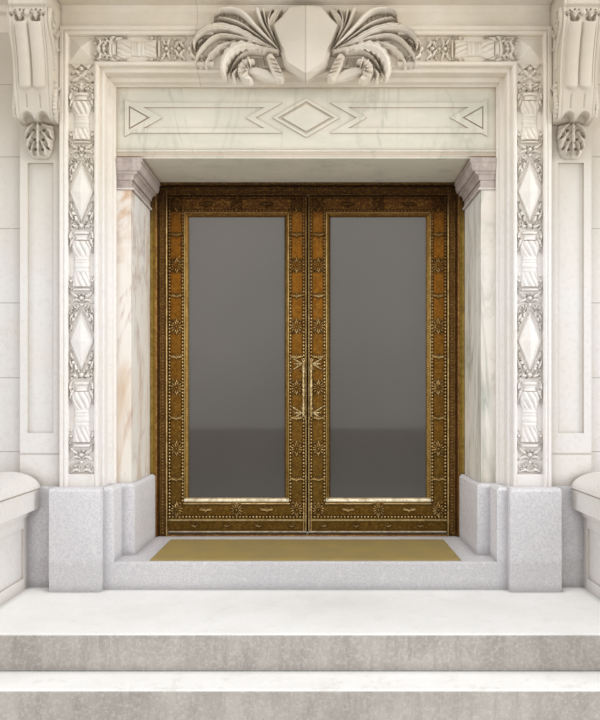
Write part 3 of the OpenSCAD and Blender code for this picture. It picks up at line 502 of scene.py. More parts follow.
class Carving:
    """A relief worked out in millimetres on a grid of places: depth inside its outline, and height."""

    def __init__(self, low, high, cell, soft=6):
        self.cell = cell
        self.soft = soft
        across = np.arange(low[0], high[0] + cell, cell, dtype=float)
        up = np.arange(low[1], high[1] + cell, cell, dtype=float)
        self.x, self.z = np.meshgrid(across, up)
        self.inside = np.full(self.x.shape, FAR_OUTSIDE)
        self.height = np.zeros(self.x.shape)

    def lay(self, inside, top, soft):
        """Lays a form over what is there already."""
        self.height = np.maximum(self.height, top * share_of(inside / soft))
        self.inside = np.maximum(self.inside, inside)

    def drill(self, holes, radius, depth=50):
        """Round holes at a list of places."""
        for x, z in holes:
            away = np.hypot(self.x - x, self.z - z)
            self.height -= depth * share_of(2 - 2 * away / radius)
        self.height = np.maximum(self.height, 0)

    def blade(self, path, widths, rise, level, lobes=0, cut=0.3, flutes=0, groove=0.25, soft=None):
        """A leaf along a path, with half widths at even stations, lobed edges and long flutes."""
        share, aside = along(smooth_path(path), self.x, self.z)
        half = np.interp(share, np.linspace(0, 1, len(widths)), widths)
        if lobes:
            phase = lobes * share - 0.35 * np.abs(aside) / np.maximum(half, 0.1)
            half = half * (1 - cut * (1 - np.abs(np.sin(math.pi * phase))))
        across = np.clip(aside / np.maximum(half, 0.1), -1, 1)
        top = level + rise * (1 - across ** 2)
        if flutes:
            top = top - groove * rise * (0.5 - 0.5 * np.cos(2 * math.pi * flutes * across))
        self.lay(half - np.abs(aside), top, soft or self.soft)

    def blades(self, paths, widths, *heights, **shape):
        """The same leaf along several paths and, mirrored, on the other side of X = 0."""
        for path in paths:
            for side in (-1, 1):
                self.blade([(side * x, z) for x, z in path], widths, *heights, **shape)

    def turned(self, stations, bulge, flutes=0, twist=0, groove=0, soft=5):
        """A turned form on the upright axis X = 0, from (height, radius) stations, bottom first."""
        heights, radii = zip(*stations)
        half = np.interp(self.z, heights, radii)
        across = np.clip(self.x / half, -1, 1)
        top = bulge * half * np.sqrt(1 - across ** 2)
        if flutes:
            ridge = np.abs(np.sin(flutes * np.arcsin(across) + twist * (self.z - heights[0])))
            top = top * (1 - groove * (1 - ridge))
        inside = np.minimum(half - np.abs(self.x), np.minimum(self.z - heights[0], heights[-1] - self.z))
        self.lay(inside, top, soft)

    def ball(self, x, z, radius, rise, level=0):
        """A round boss."""
        away = np.hypot(self.x - x, self.z - z)
        top = level + rise * np.sqrt(share_of(1 - (away / radius) ** 2))
        self.lay(radius - away, top, min(5, 0.4 * radius))

    def tuft(self, x, z, size, degrees):
        """Five small lobes round a drilled eye, spread about a direction, with their mirror image beyond X = 0."""
        for k in range(-2, 3):
            c, s = cos_sin(degrees + 48 * k)
            for side in (-1, 1):
                self.ball(side * (x + size * c), z + size * s, 0.48 * size, 14, 6)
        self.drill([(-x, z), (x, z)], 0.42 * size)

    def form(self, back=4):
        """The relief in metres, as a closed form whose outline lies on y = 0."""
        # points near the outline move onto it
        dz, dx = np.gradient(self.inside, self.cell)
        steep = np.maximum(dx ** 2 + dz ** 2, 0.05)
        near = np.abs(self.inside) <= 0.75 * self.cell * np.sqrt(steep)
        x = self.x - np.where(near, self.inside * dx / steep, 0)
        z = self.z - np.where(near, self.inside * dz / steep, 0)
        y = -np.where(near, 0, np.maximum(self.height, 0))
        # a cell is kept where it reaches well inside, unless it touches another one at a single corner
        good = near | (self.inside > 0)
        keep = np.logical_and.reduce([good[c] for c in CORNERS])
        keep &= np.logical_or.reduce([(good & ~near)[c] for c in CORNERS])
        for _ in range(3):
            keep[:-1, :-1] &= ~(keep[:-1, :-1] & keep[1:, 1:] & ~keep[1:, :-1] & ~keep[:-1, 1:])
            keep[1:, :-1] &= ~(keep[1:, :-1] & keep[:-1, 1:] & ~keep[:-1, :-1] & ~keep[1:, 1:])
        index = np.arange(x.size).reshape(x.shape)
        quads = np.column_stack([index[c][keep] for c in CORNERS])
        # the rim runs where a kept cell has no neighbour
        padded = np.pad(keep, 1)
        beside = (padded[:-2, 1:-1], padded[1:-1, 2:], padded[2:, 1:-1], padded[1:-1, :-2])
        rim = np.concatenate([
            np.column_stack([index[CORNERS[(side + k) % 4]][keep & ~neighbour] for k in (0, 1)])
            for side, neighbour in enumerate(beside)])
        used, compact = np.unique(quads, return_inverse=True)
        front = np.column_stack([axis.ravel()[used] for axis in (x, y, z)])
        behind = front * (1, 0, 1) + (0, back, 0)
        faces = shell(compact.reshape(quads.shape), np.searchsorted(used, rim), len(used))
        return np.vstack([front, behind]) / 1000, faces


def placed(name, data, place=(0, 0, 0)):
    """An object of the given data, linked to the scene."""
    made = bpy.data.objects.new(name, data)
    made.location = place
    bpy.context.scene.collection.objects.link(made)
    return made


class Shape:
    """The points and faces of one piece, gathered from smaller forms."""

    def __init__(self, form=None, move=(0, 0, 0)):
        self.points = []
        self.faces = []
        self.count = 0
        if form:
            self.add(form, move)

    def add(self, form, move=(0, 0, 0)):
        """Adds a form, moved."""
        points, faces = form
        self.points.append(points + move)
        self.faces += [[corner + self.count for corner in face] for face in faces]
        self.count += len(points)

    def repeat(self, form, places):
        """Adds a form at several places."""
        for place in places:
            self.add(form, place)

    def form(self):
        """Everything gathered so far, as one form."""
        return np.concatenate(self.points), self.faces

    def piece(self, name, body, slot, material, *nodes, sharp=50):
        """Makes the Blender object, which stands for the named CAD nodes."""
        mesh = bpy.data.meshes.new(name)
        mesh.from_pydata(np.concatenate(self.points).tolist(), [], self.faces)
        mesh.shade_smooth()
        mesh.set_sharp_from_angle(angle=math.radians(sharp))
        mesh.materials.append(material)
        made = placed(name, mesh)
        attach(made, body)
        if nodes:
            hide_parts(*nodes)


def pair(form, move, name, body, slot, material, *nodes):
    """A piece on the right and its mirror image on the left; {} in a name stands for the side."""
    for side, word in ((1, "right"), (-1, "left")):
        Shape(form if side > 0 else mirrored(form), (side * move[0], move[1], move[2])).piece(
            name.format(word), body.format(word), slot, material, *(node.format(word) for node in nodes))


# Carved marble bands, drawn in millimetres

BAND_MIDDLE = 1.367
BAND_HALF = 75
BAND_GROUND = -0.764
HEAD_BAND_MIDDLE = 3.641
LOZENGE_HALF = (75, 186)
CURL = dict(rise=18, level=8, lobes=5, cut=0.45, flutes=1)
HEAD_CURL = CURL | dict(rise=20)


def both(*places):
    """Places on the right with their mirror images, left ones first."""
    return [(side * x, z) for side in (-1, 1) for x, z in places]


def vase(carving, top, tall, twist):
    """A gadrooned vase on a fluted foot between leaves, downwards from the given height."""
    k = tall / 530
    down = lambda *places: [(x, top - k * v) for x, v in places]
    turned = lambda *stations, **shape: carving.turned([(top - k * v, radius) for v, radius in stations], **shape)
    ring = lambda v, radius, half: turned((v + half, radius * 0.93), (v, radius), (v - half, radius * 0.93),
                                          bulge=0.5, soft=3)
    carving.ball(0, top - k * 22, 15, 26)
    carving.blades([down((12, 40), (40, 26), (66, 46)), down((60, 58), (70, 86), (60, 122)),
                    down((50, 100), (60, 120), (70, 150))], (7, 12, 6), 18, 6, lobes=3)
    ring(66, 50, 11)
    turned((112, 44), (96, 36), (76, 46), bulge=0.5)
    turned((212, 45), (190, 55), (150, 65), (110, 54), bulge=0.46, flutes=5, twist=twist, groove=0.5)
    turned((308, 45), (200, 44), bulge=0.42)
    for v, radius, half in ((220, 47, 7), (237, 46, 7), (262, 49, 14), (289, 47, 8)):
        ring(v, radius, half)
    turned((388, 59), (355, 57), (325, 50), (300, 47), bulge=0.46, flutes=5, twist=twist, groove=0.5)
    for u, v, radius, rise in ((66, 352, 10, 24), (64, 322, 7, 20)):
        for side in (-1, 1):
            carving.ball(side * u, top - k * v, radius, rise)
    ring(402, 56, 9)
    carving.blades([down((4, 425), (32, 440), (64, 420)), down((6, 475), (34, 462), (66, 480))],
                   (8, 15, 7), 16, 8, lobes=4, cut=0.4, flutes=1)
    for u, v, size, degrees in ((52, 30, 13, 60), (66, 172, 8, 0), (64, 384, 10, 20), (62, 410, 10, -10),
                                (34, 500, 12, 250)):
        carving.tuft(u, top - k * v, size, degrees)
    carving.ball(0, top - k * 452, 15, 24)
    carving.ball(0, top - k * 492, 12, 20)
    carving.drill(both(*down((19, 34), (36, 48), (53, 62), (62, 100), (20, 438), (40, 452), (58, 452), (18, 474))), 6)


def apex_leaves(carving, apex, way):
    """Curling leaves and drilled eyes beside the point of a lozenge; way is 1 where it points up."""
    down = lambda *places: [(x, apex - way * v) for x, v in places]
    carving.blades([down((10, -12), (34, 20), (54, 62), (66, 116)), down((16, -30), (46, -18), (67, 16)),
                    down((50, 20), (64, 40), (70, 66))], (7, 15, 12, 6), 18, 4, lobes=5, cut=0.45, flutes=1)
    for u, v, size in ((26, 4, 12), (46, 40, 12), (60, 80, 10), (67, 122, 8), (48, -16, 12), (64, 16, 9)):
        carving.tuft(u, apex - way * v, size, 90 - 60 * way)
    carving.drill(both(*down((21, -8), (44, 26), (57, 70), (66, 122), (32, -32), (54, -4))), 5.5)


def faceted_lozenge(carving, middle):
    """A lozenge with four sloping faces inside a raised double border."""
    half_w, half_h = LOZENGE_HALF
    inside = (1 - np.abs(carving.x) / half_w - np.abs(carving.z - middle) / half_h) * half_w * 0.93
    border = sum(5 * share_of(1 - np.abs(inside - line) / 3) for line in (4, 12))
    carving.lay(inside, 12 + 0.36 * np.maximum(inside - 14, 0) + border, 3)


def side_band(twist):
    """The ornament of an upright band, from below its corner boss to its foot."""
    carving = Carving((-BAND_HALF, 1040), (BAND_HALF, 3558), 4)
    carving.blades([[(4, 3546), (34, 3530), (64, 3548)], [(4, 3470), (32, 3500), (64, 3486)],
                    [(4, 3470), (34, 3452), (66, 3440)], [(4, 3398), (34, 3416), (66, 3398)]], (9, 18, 7), **CURL)
    for z in (3520, 3472, 3420):
        carving.ball(0, z, 15, 26)
        carving.drill(both((23, z), (46, z - 12), (62, z + 18)), 6.5)
    vase(carving, 3420, 460, twist)
    for middle in (2768, 1859):
        faceted_lozenge(carving, middle)
        for way in (1, -1):
            apex_leaves(carving, middle + way * LOZENGE_HALF[1], way)
    vase(carving, 2586, 545, twist)
    vase(carving, 1677, 600, twist)
    carving.blades([[(4, 1062), (34, 1074), (66, 1056)]], (8, 14, 6), 16, 6, lobes=4, cut=0.4)
    for x in (24, 50):
        carving.tuft(x, 1092, 12, 270)
    return carving.form()


def head_band():
    """The ornament of the head's band from a corner boss to the fan, drawn upright."""
    carving = Carving((-BAND_HALF, 560), (BAND_HALF, 1290), 4)
    apex_leaves(carving, 1262, -1)
    carving.blades([[(4, 1270), (34, 1250), (64, 1262)], [(10, 1236), (40, 1214), (66, 1170)]], (9, 19, 8), **HEAD_CURL)
    carving.ball(0, 1262, 17, 28)
    vase(carving, 1250, 470, 0.044)
    carving.blades([[(4, 800), (34, 780), (64, 800)], [(4, 735), (34, 760), (66, 735)],
                    [(6, 700), (40, 690), (67, 655)], [(4, 625), (34, 650), (64, 610)]], (9, 20, 8), **HEAD_CURL)
    for z in (772, 705, 640):
        carving.ball(0, z, 16, 28)
        carving.drill(both((24, z), (48, z + 14), (60, z - 16)), 7)
    return carving.form()


def band_pieces(material):
    """The carved bands of both sides and of the head; the vases wind the same way on both sides."""
    level = turned_flat(head_band(), -90)
    for side, name in ((-1, "left"), (1, "right")):
        upright = side_band(0.044) if side > 0 else mirrored(side_band(-0.044))
        Shape(upright, (side * BAND_MIDDLE, BAND_GROUND, 0)).piece(
            f"band_carving_{name}", "doorway", "marble", material)
        Shape(level if side > 0 else mirrored(level), (0, BAND_GROUND, HEAD_BAND_MIDDLE)).piece(
            f"head_carving_{name}", "doorway", "marble", material)


# The fans of leaves beside the shield, drawn in millimetres beside the middle and above the lintel

FAN_FOOT = 3474
FAN_GROUND = -0.757
FAN_FREE_BELOW = 3.534
FAN_FREE_BACK = -0.744


def upper_leaves(blade):
    """The upright ribs beside the shield, the arched leaf and the broad light leaf of a fan."""
    # three upright ribs and the hollow lobe beside the shield
    blade([(160, 140), (214, 226), (264, 312), (296, 400)], (6, 12, 15, 17), 16, 38)
    blade([(156, 138), (198, 218), (236, 306), (258, 400)], (5, 8, 10, 12), 14, 28)
    blade([(150, 132), (186, 205), (208, 262), (204, 318), (184, 362), (160, 398)], (6, 9, 12, 22, 25, 18), -30, 62)
    blade([(150, 130), (190, 214), (218, 280), (226, 330), (212, 380), (196, 400)], (5, 7, 8, 8, 7, 5), 18, 52)
    # the arched leaf above: floor with teeth, outer ridge and inner ribs
    blade([(240, 216), (310, 280), (370, 322), (430, 348), (500, 362), (534, 360)], (12, 26, 34, 34, 26, 8), 6, 12)
    for k in range(7):
        x, z = 356 + 25 * k, 326 + 6.5 * k - 0.35 * k * k
        blade([(x - 4, z - 8), (x + 4, z + 22)], (5, 6), 14, 34)
    blade([(165, 142), (240, 216), (304, 282), (350, 336), (394, 372), (450, 386), (508, 380), (556, 354)],
          (7, 12, 15, 17, 17, 15, 12, 5), 22, 66, lobes=6, cut=0.12)
    blade([(165, 137), (237, 190), (343, 268), (392, 300), (453, 324), (520, 338), (560, 338)],
          (5, 8, 10, 11, 11, 9, 4), 20, 52)
    blade([(170, 136), (250, 178), (350, 240), (410, 276), (470, 302), (540, 316), (592, 308)],
          (5, 8, 11, 12, 12, 10, 5), 12, 36)
    # the broad light leaf
    blade([(165, 133), (277, 184), (365, 236), (435, 268), (497, 280), (563, 280), (622, 262), (660, 222), (676, 178),
           (672, 160)], (7, 16, 24, 28, 29, 29, 28, 24, 16, 8), 20, 62, flutes=2, groove=0.42, lobes=8, cut=0.12)
    for k in range(4):
        blade([(590 + 20 * k, 238 - 16 * k), (606 + 18 * k, 204 - 18 * k)], (6, 5), 12, 44)


def lower_leaves(blade):
    """The two leaves of a fan that curl down to the lintel."""
    # the next leaf: a double ridge, teeth in its hollow and an inner fringe
    blade([(420, 196), (500, 208), (556, 186), (606, 146), (636, 100), (640, 66)], (6, 22, 28, 28, 24, 12), 4, 10)
    for k in range(8):
        t = k / 7
        x, z = 480 + 172 * t - 18 * t * t, 214 - 30 * t - 92 * t * t
        blade([(x, z), (x - 14 - 10 * t, z - 26 + 12 * t)], (6, 6), 14, 32)
    blade([(180, 136), (277, 172), (369, 208), (440, 225), (500, 232), (548, 222), (596, 190), (640, 138), (664, 94),
           (668, 60)], (4, 7, 9, 10, 10, 10, 10, 9, 8, 5), 20, 58)
    blade([(175, 132), (277, 160), (369, 188), (445, 192), (520, 172), (568, 132), (598, 90), (606, 58)],
          (4, 9, 15, 20, 26, 28, 23, 12), 16, 36, flutes=1, groove=0.9, lobes=9, cut=0.25)
    # the bold lower leaf
    blade([(165, 130), (260, 148), (343, 164), (401, 158), (450, 130), (484, 84), (497, 40), (496, 4), (486, -18)],
          (6, 14, 22, 33, 42, 44, 38, 28, 12), 26, 66, flutes=1, groove=0.75, lobes=10, cut=0.22)
    blade([(180, 124), (270, 134), (336, 138), (384, 118), (420, 84), (446, 42), (460, 2)],
          (4, 5, 7, 7, 7, 6, 4), 10, 62)


def ribbons(blade):
    """The hatched hollow below the leaves of a fan, the sloping saddle and the two ribbed ribbons."""
    for k in range(8):
        blade([(262 + 18 * k, 116 - 5 * max(k - 4, 0)), (248 + 20 * k, 72 - 4 * k)], (5, 5), 12, 12)
    blade([(346, 34), (306, 32), (250, 14), (196, -6), (150, -14)], (26, 34, 38, 28, 18), 6, 14, soft=12)
    blade([(318, 84), (352, 76), (380, 52), (388, 18), (374, -10), (346, -26)],
          (14, 25, 30, 31, 30, 24), 3, 60, soft=12)
    for x, z, dx, dz in ((342, 76, 6, 23), (366, 62, 16, 19), (380, 38, 24, 8), (383, 12, 25, -9), (368, -9, 18, -18)):
        blade([(x - dx, z - dz), (x, z), (x + dx, z + dz)], (5, 7, 5), 18, 62, soft=2)
    blade([(415, 36), (438, 2), (432, -30)], (12, 20, 14), 18, 34, lobes=5, cut=0.4, flutes=1)
    blade([(212, 104), (190, 54), (168, 10), (156, -14)], (28, 33, 33, 27), 2, 58, soft=12)
    for x, z in ((207, 88), (196, 62), (184, 36), (172, 12), (162, -8)):
        blade([(x - 27, z - 9), (x, z + 2), (x + 27, z + 10)], (5, 7, 5), 18, 60, soft=2)


def fan():
    """The right-hand fan: five long leaves that curl outwards from beside the shield, and two ribbons."""
    carving = Carving((105, 3400), (705, 3874), 4.2)
    blade = lambda places, *form, **shape: carving.blade([(x, FAN_FOOT + z) for x, z in places], *form, **shape)
    for part in (upper_leaves, lower_leaves, ribbons):
        part(blade)
    return carving.form(back=0)


def fan_pieces(material):
    """Both fans; below the head they hang free in front of the lintel."""
    points, faces = fan()
    points = points + (0, FAN_GROUND, 0)
    behind = points[len(points) // 2:]
    behind[:, 1] = np.where(behind[:, 2] > FAN_FREE_BELOW, FAN_GROUND + 0.006, FAN_FREE_BACK)
    pair((points, faces), (0, 0, 0), "acanthus_carving_{}", "doorway", "marble", material, "acanthus_{}")


# Consoles, drawn in millimetres, and the mat

MAT_PITCH = 0.009
MAT_ROUNDING = 0.012
CONSOLE_MIDDLE = 1.614
CONSOLE_HALF = 116
CONSOLE_WALL = -0.77
CONSOLE_TOP = 3910
CONSOLE_REACH = 0.24
CONSOLE_THICK = 80
CONSOLE_TALL = 738
PENDANT_TALL = 207
# Drop below the cornice, and reach of the front as a share of the greatest
CONSOLE_PROFILE = ((0, 1), (44, 1), (50, 0.975), (108, 0.975), (114, 0.935), (124, 0.925), (150, 0.945),
                   (190, 0.95), (240, 0.9), (320, 0.785), (400, 0.7), (480, 0.65), (560, 0.625), (640, 0.55),
                   (700, 0.5), (726, 0.45), (CONSOLE_TALL, 0.36))


def console_front():
    """Two reeds with rounded ends between plain bands, over narrow strips and two scalloped hollows."""
    carving = Carving((-CONSOLE_HALF - 6, CONSOLE_TOP - CONSOLE_TALL - 6), (CONSOLE_HALF + 6, CONSOLE_TOP + 6), 4.2)
    x, drop = np.abs(carving.x), CONSOLE_TOP - carving.z
    down = lambda *places: [(u, CONSOLE_TOP - v) for u, v in places]
    base = np.minimum(CONSOLE_HALF - x, np.minimum(drop, CONSOLE_TALL - drop))
    carving.lay(base, np.full(x.shape, float(CONSOLE_THICK)), 3)
    across = np.abs(x - 40) / 37
    reed = np.sqrt(share_of(1 - across ** 2))
    swell = share_of((548 + 30 * reed - drop) / 12) * share_of((drop - 214 + 20 * reed) / 20)
    carving.height += 20 * reed * swell - 6 * share_of(1 - np.abs(across - 1) / 0.12) * swell
    below = share_of((drop - 566 - 26 * reed) / 10) * share_of((680 - drop) / 10)
    carving.height -= 5 * share_of(1.6 - np.abs(x - 40) / 4) * below
    carving.height -= 60 * share_of((37 - np.hypot(x - 46, (drop - 735) * 0.85)) / 10)
    carving.height -= 22 * share_of((30 - np.hypot(x - 46, (drop - 192) * 1.3)) / 8)
    for places, widths in ((((22, 150), (46, 164), (72, 150)), (10, 20, 9)),
                           (((70, 150), (90, 164), (106, 150)), (6, 14, 6))):
        carving.blades([down(*places)], widths, 16, 82, lobes=4, cut=0.4, flutes=1)
    carving.blades([down((46, 172), (46, 196))], (18, 6), 12, 80)
    carving.height -= 4 * share_of(1.6 - np.abs(x - 92) / 3.5) * (drop > 50)
    carving.ball(0, CONSOLE_TOP - 160, 22, 14, 84)
    carving.height -= 4 * share_of(1.5 - np.abs(drop - 119) / 4)
    carving.drill(both(*down((22, 140), (46, 138), (74, 142), (92, 168), (70, 172))), 6, 20)
    carving.height = np.maximum(carving.height, 2)
    points, faces = carving.form(back=0)
    front = points[:len(points) // 2]
    drops, reaches = zip(*CONSOLE_PROFILE)
    front[:, 1] += CONSOLE_THICK / 1000
    front[:, 1] -= CONSOLE_REACH * np.interp(CONSOLE_TOP - 1000 * front[:, 2], drops, reaches)
    return points, faces


def pendant():
    """The leafy boss below a console: lobed leaves over a round core, with drilled eyes."""
    carving = Carving((-96, -4), (96, 214), 4)
    carving.turned([(0, 30), (12, 54), (40, 72), (90, 82), (160, 84), (PENDANT_TALL, 80)], bulge=0.55)
    for path, widths in (([(16, 204), (40, 190), (66, 160), (78, 118)], (12, 20, 20, 9)),
                         ([(14, 160), (34, 140), (58, 100), (66, 56)], (10, 21, 22, 10)),
                         ([(10, 104), (26, 80), (40, 44), (36, 18)], (9, 18, 17, 9))):
        carving.blades([path], widths, 22, 44, lobes=3, cut=0.4, flutes=1, groove=0.5)
    carving.blade([(0, 206), (0, 120), (0, 8)], (10, 14, 8), 22, 52, lobes=5, cut=0.3)
    carving.drill(both((30, 166), (64, 128), (26, 110), (52, 62), (22, 52)), 7.5)
    return carving.form()


def console_flank():
    """Scroll and foliage on the flank of a console, drawn with the wall on its left."""
    carving = Carving((0, 3165), (226, 3845), 4.2, 4)
    carving.blade([(190, 3800), (206, 3760), (198, 3700), (166, 3640), (120, 3560), (104, 3470)],
                  (6, 9, 10, 9, 7, 4), 10, 3)
    for path in ([(150, 3720), (190, 3740), (204, 3790)], [(150, 3700), (120, 3745), (140, 3800)],
                 [(130, 3670), (80, 3680), (50, 3730)], [(120, 3640), (86, 3600), (40, 3620)],
                 [(104, 3400), (66, 3370), (30, 3390)], [(100, 3360), (104, 3300), (70, 3250)],
                 [(84, 3330), (44, 3300), (26, 3240)], [(110, 3300), (112, 3240), (96, 3190)]):
        carving.blade(path, (8, 20, 8), 14, 4, lobes=5, cut=0.4, flutes=1)
    carving.ball(146, 3712, 18, 16, 4)
    carving.ball(100, 3372, 15, 14, 4)
    carving.drill([(165, 3755), (128, 3735), (100, 3700), (100, 3655), (80, 3345), (96, 3270), (60, 3275)], 7, 30)
    return carving.form()


def console_pieces(material):
    """Both consoles with their pendants and carved flanks."""
    points, faces = console_flank()
    # the flank's drawing turns to face the doorway, its left edge against the wall
    inner = points[:, [1, 0, 2]] * (1, -1, 1), faces
    shape = Shape(console_front(), (0, CONSOLE_WALL, 0))
    shape.add(pendant(), (0, CONSOLE_WALL, (CONSOLE_TOP - CONSOLE_TALL - PENDANT_TALL) / 1000))
    shape.add(inner, (-CONSOLE_HALF / 1000, CONSOLE_WALL, 0))
    shape.add(mirrored(inner), (CONSOLE_HALF / 1000, CONSOLE_WALL, 0))
    pair(shape.form(), (CONSOLE_MIDDLE, 0, 0), "console_carving_{}", "doorway", "wall_stone", material, "console_{}")


def mat_piece(material):
    """A coir mat: a thick brushed pile with rounded, slightly uneven edges."""
    low, high = (np.array(corner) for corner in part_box("entrance_mat"))
    columns, rows = (round((high[k] - low[k]) / MAT_PITCH) + 1 for k in (0, 1))
    x, y = np.meshgrid(np.linspace(low[0], high[0], columns), np.linspace(low[1], high[1], rows))
    edge = np.minimum(np.minimum(x - low[0], high[0] - x), np.minimum(y - low[1], high[1] - y))
    ripple = 0.5 + 0.25 * np.sin(x * 41 + 3 * np.sin(y * 23)) + 0.25 * np.sin(y * 57 + 2 * np.sin(x * 31))
    pile = np.random.default_rng(7).uniform(0, 1, x.shape)
    thick = high[2] - low[2]
    z = high[2] - 0.0012 * ripple - 0.0014 * pile - thick * 0.75 * share_of(1 - edge / MAT_ROUNDING) ** 2
    wobble = np.abs(0.0012 * np.sin(x * 67) * (edge < 0.001))
    top = np.stack([x, y + np.where(y < 0.5 * (low[1] + high[1]), wobble, -wobble), z], axis=-1)
    bottom = top.copy()
    bottom[:, :, 2] = low[2]
    index = np.arange(x.size).reshape(x.shape)
    quads = np.column_stack([index[c].ravel() for c in CORNERS])
    rim = np.concatenate([index[0, :-1], index[:-1, -1], index[-1, :0:-1], index[:0:-1, 0]])
    faces = shell(quads, np.column_stack([rim, np.roll(rim, -1)]), x.size)
    form = np.concatenate([top.reshape(-1, 3), bottom.reshape(-1, 3)]), faces
    Shape(form).piece("coir_mat", "doorway", "mat_coir", material, "entrance_mat", sharp=80)


# Gilt bronze ornament of the leaves, drawn for the right-hand leaf; the small carvings are in millimetres

PANE_MIDDLE = (0.5035, 1.7985)
PANE_HALF = (0.3405, 0.9985)
PANEL_FACE = 0.005
ROW_OFFSETS = (0.0425, 0.136)
BEAD_PITCH = 0.024
ROSETTE_HEIGHTS = np.linspace(0.715, 2.882, 6)
BOSS_STEP = 0.216
STILES = (0.078, 0.929)
LEAF_HEAD = 2.95
SEAL_FOOT = 0.556
# The ribbon of beads: its distance from the middle, its face and the height of its row along the head
RIBBON = (1.019, -0.0445, 2.9715)


def frame_places(offset, pitch, y):
    """Places at an even pitch on a rectangle that runs outside the pane."""
    half_w, half_h = PANE_HALF[0] + offset, PANE_HALF[1] + offset
    across = np.linspace(-half_w, half_w, round(2 * half_w / pitch) + 1)
    up = np.linspace(-half_h, half_h, round(2 * half_h / pitch) + 1)[1:-1]
    places = [(x, z) for z in (-half_h, half_h) for x in across] + [(x, z) for x in (-half_w, half_w) for z in up]
    return [(PANE_MIDDLE[0] + x, y, PANE_MIDDLE[1] + z) for x, z in places]


def rosette():
    """A round flower: boss, ring and twelve petals, with a sprig above and a leaf below."""
    carving = Carving((-46, -60), (46, 66), 2.8, 3)
    for k in range(12):
        c, s = cos_sin(30 * k + 15)
        carving.blade([(r * c, r * s) for r in (20, 30, 43 if k % 3 == 1 else 39)], (4, 7.8, 6), 8, 4)
    away = np.abs(np.hypot(carving.x, carving.z) - 18.5)
    carving.lay(4.5 - away, 13 - 0.2 * away, 3)
    carving.ball(0, 0, 9.5, 11, 9)
    carving.blade([(0, 36), (0, 50), (0, 63)], (8, 10, 2), 7, 4, lobes=3)
    carving.blade([(0, -36), (0, -57)], (7, 8, 2), 6, 3)
    carving.blades([[(10, 40), (24, 49), (36, 38)]], (4, 6, 5), 7, 4)
    carving.blades([[(10, -40), (22, -48), (33, -38)]], (3, 5, 4), 6, 3)
    return carving.form(back=1)


def palmette(size=1):
    """Two wings of small leaves that rise outwards from a drop."""
    carving = Carving((-46 * size, -28 * size), (46 * size, 32 * size), 2.8, 2)
    for degrees, reach in zip((14, 26, 40, 60, 90, 120, 140, 154, 166), (47, 47, 43, 32, 26, 32, 43, 47, 47)):
        c, s = (size * part for part in cos_sin(degrees))
        carving.blade([(6 * c, -8 * size + 6 * s), (reach * c, -8 * size + reach * s * 0.86)],
                      (3 * size, 5.6 * size, 5.4 * size), 12, 7)
    carving.ball(0, -9 * size, 9.5 * size, 11, 9)
    carving.ball(0, -21.5 * size, 5 * size, 6, 3)
    return carving.form(back=1)


def bracket():
    """The leafy plate that a pull's post stands on, with leaves towards the panel."""
    carving = Carving((-26, -60), (104, 60), 2.7, 3)
    for way in (-1, 1):
        carving.blade([(4, 0), (34, 14 * way), (66, 34 * way), (96, 50 * way)], (6, 12, 10, 4), 8, 4,
                      lobes=4, cut=0.4)
        for path in ([(0, 4 * way), (-8, 28 * way), (-14, 50 * way)], [(0, 4 * way), (10, 32 * way), (26, 52 * way)]):
            carving.blade(path, (6, 8, 3), 7, 3, lobes=2)
    carving.blade([(4, 0), (40, 0), (78, 0)], (8, 11, 3), 9, 4, lobes=3)
    carving.ball(0, 0, 14, 10, 6)
    return carving.form(back=1)


def tongue():
    """One leaf of the glazing bar's edge, leaning down towards the glass."""
    points, faces = dome(0.0052, 0.005)
    x, y, z = (points * (2.1, 1, 1)).T
    c, s = cos_sin(math.degrees(math.atan2(20, 34)))
    return np.column_stack([x * c + y * s, y * c - x * s, z]), faces


def glazing_row(shape):
    """Tongues on the sloping bar round the pane."""
    half_w, half_h = PANE_HALF[0] + 0.016, PANE_HALF[1] + 0.016
    for turn, (reach, half) in enumerate([(half_w, half_h), (half_h, half_w)] * 2):
        form = turned_flat(tongue(), 90 * turn)
        c, s = cos_sin(90 * turn)
        for step in np.linspace(-half + 0.02, half - 0.02, round(2 * half / 0.0125)):
            shape.add(form, (PANE_MIDDLE[0] + reach * c - step * s, 0.0106, PANE_MIDDLE[1] + reach * s + step * c))


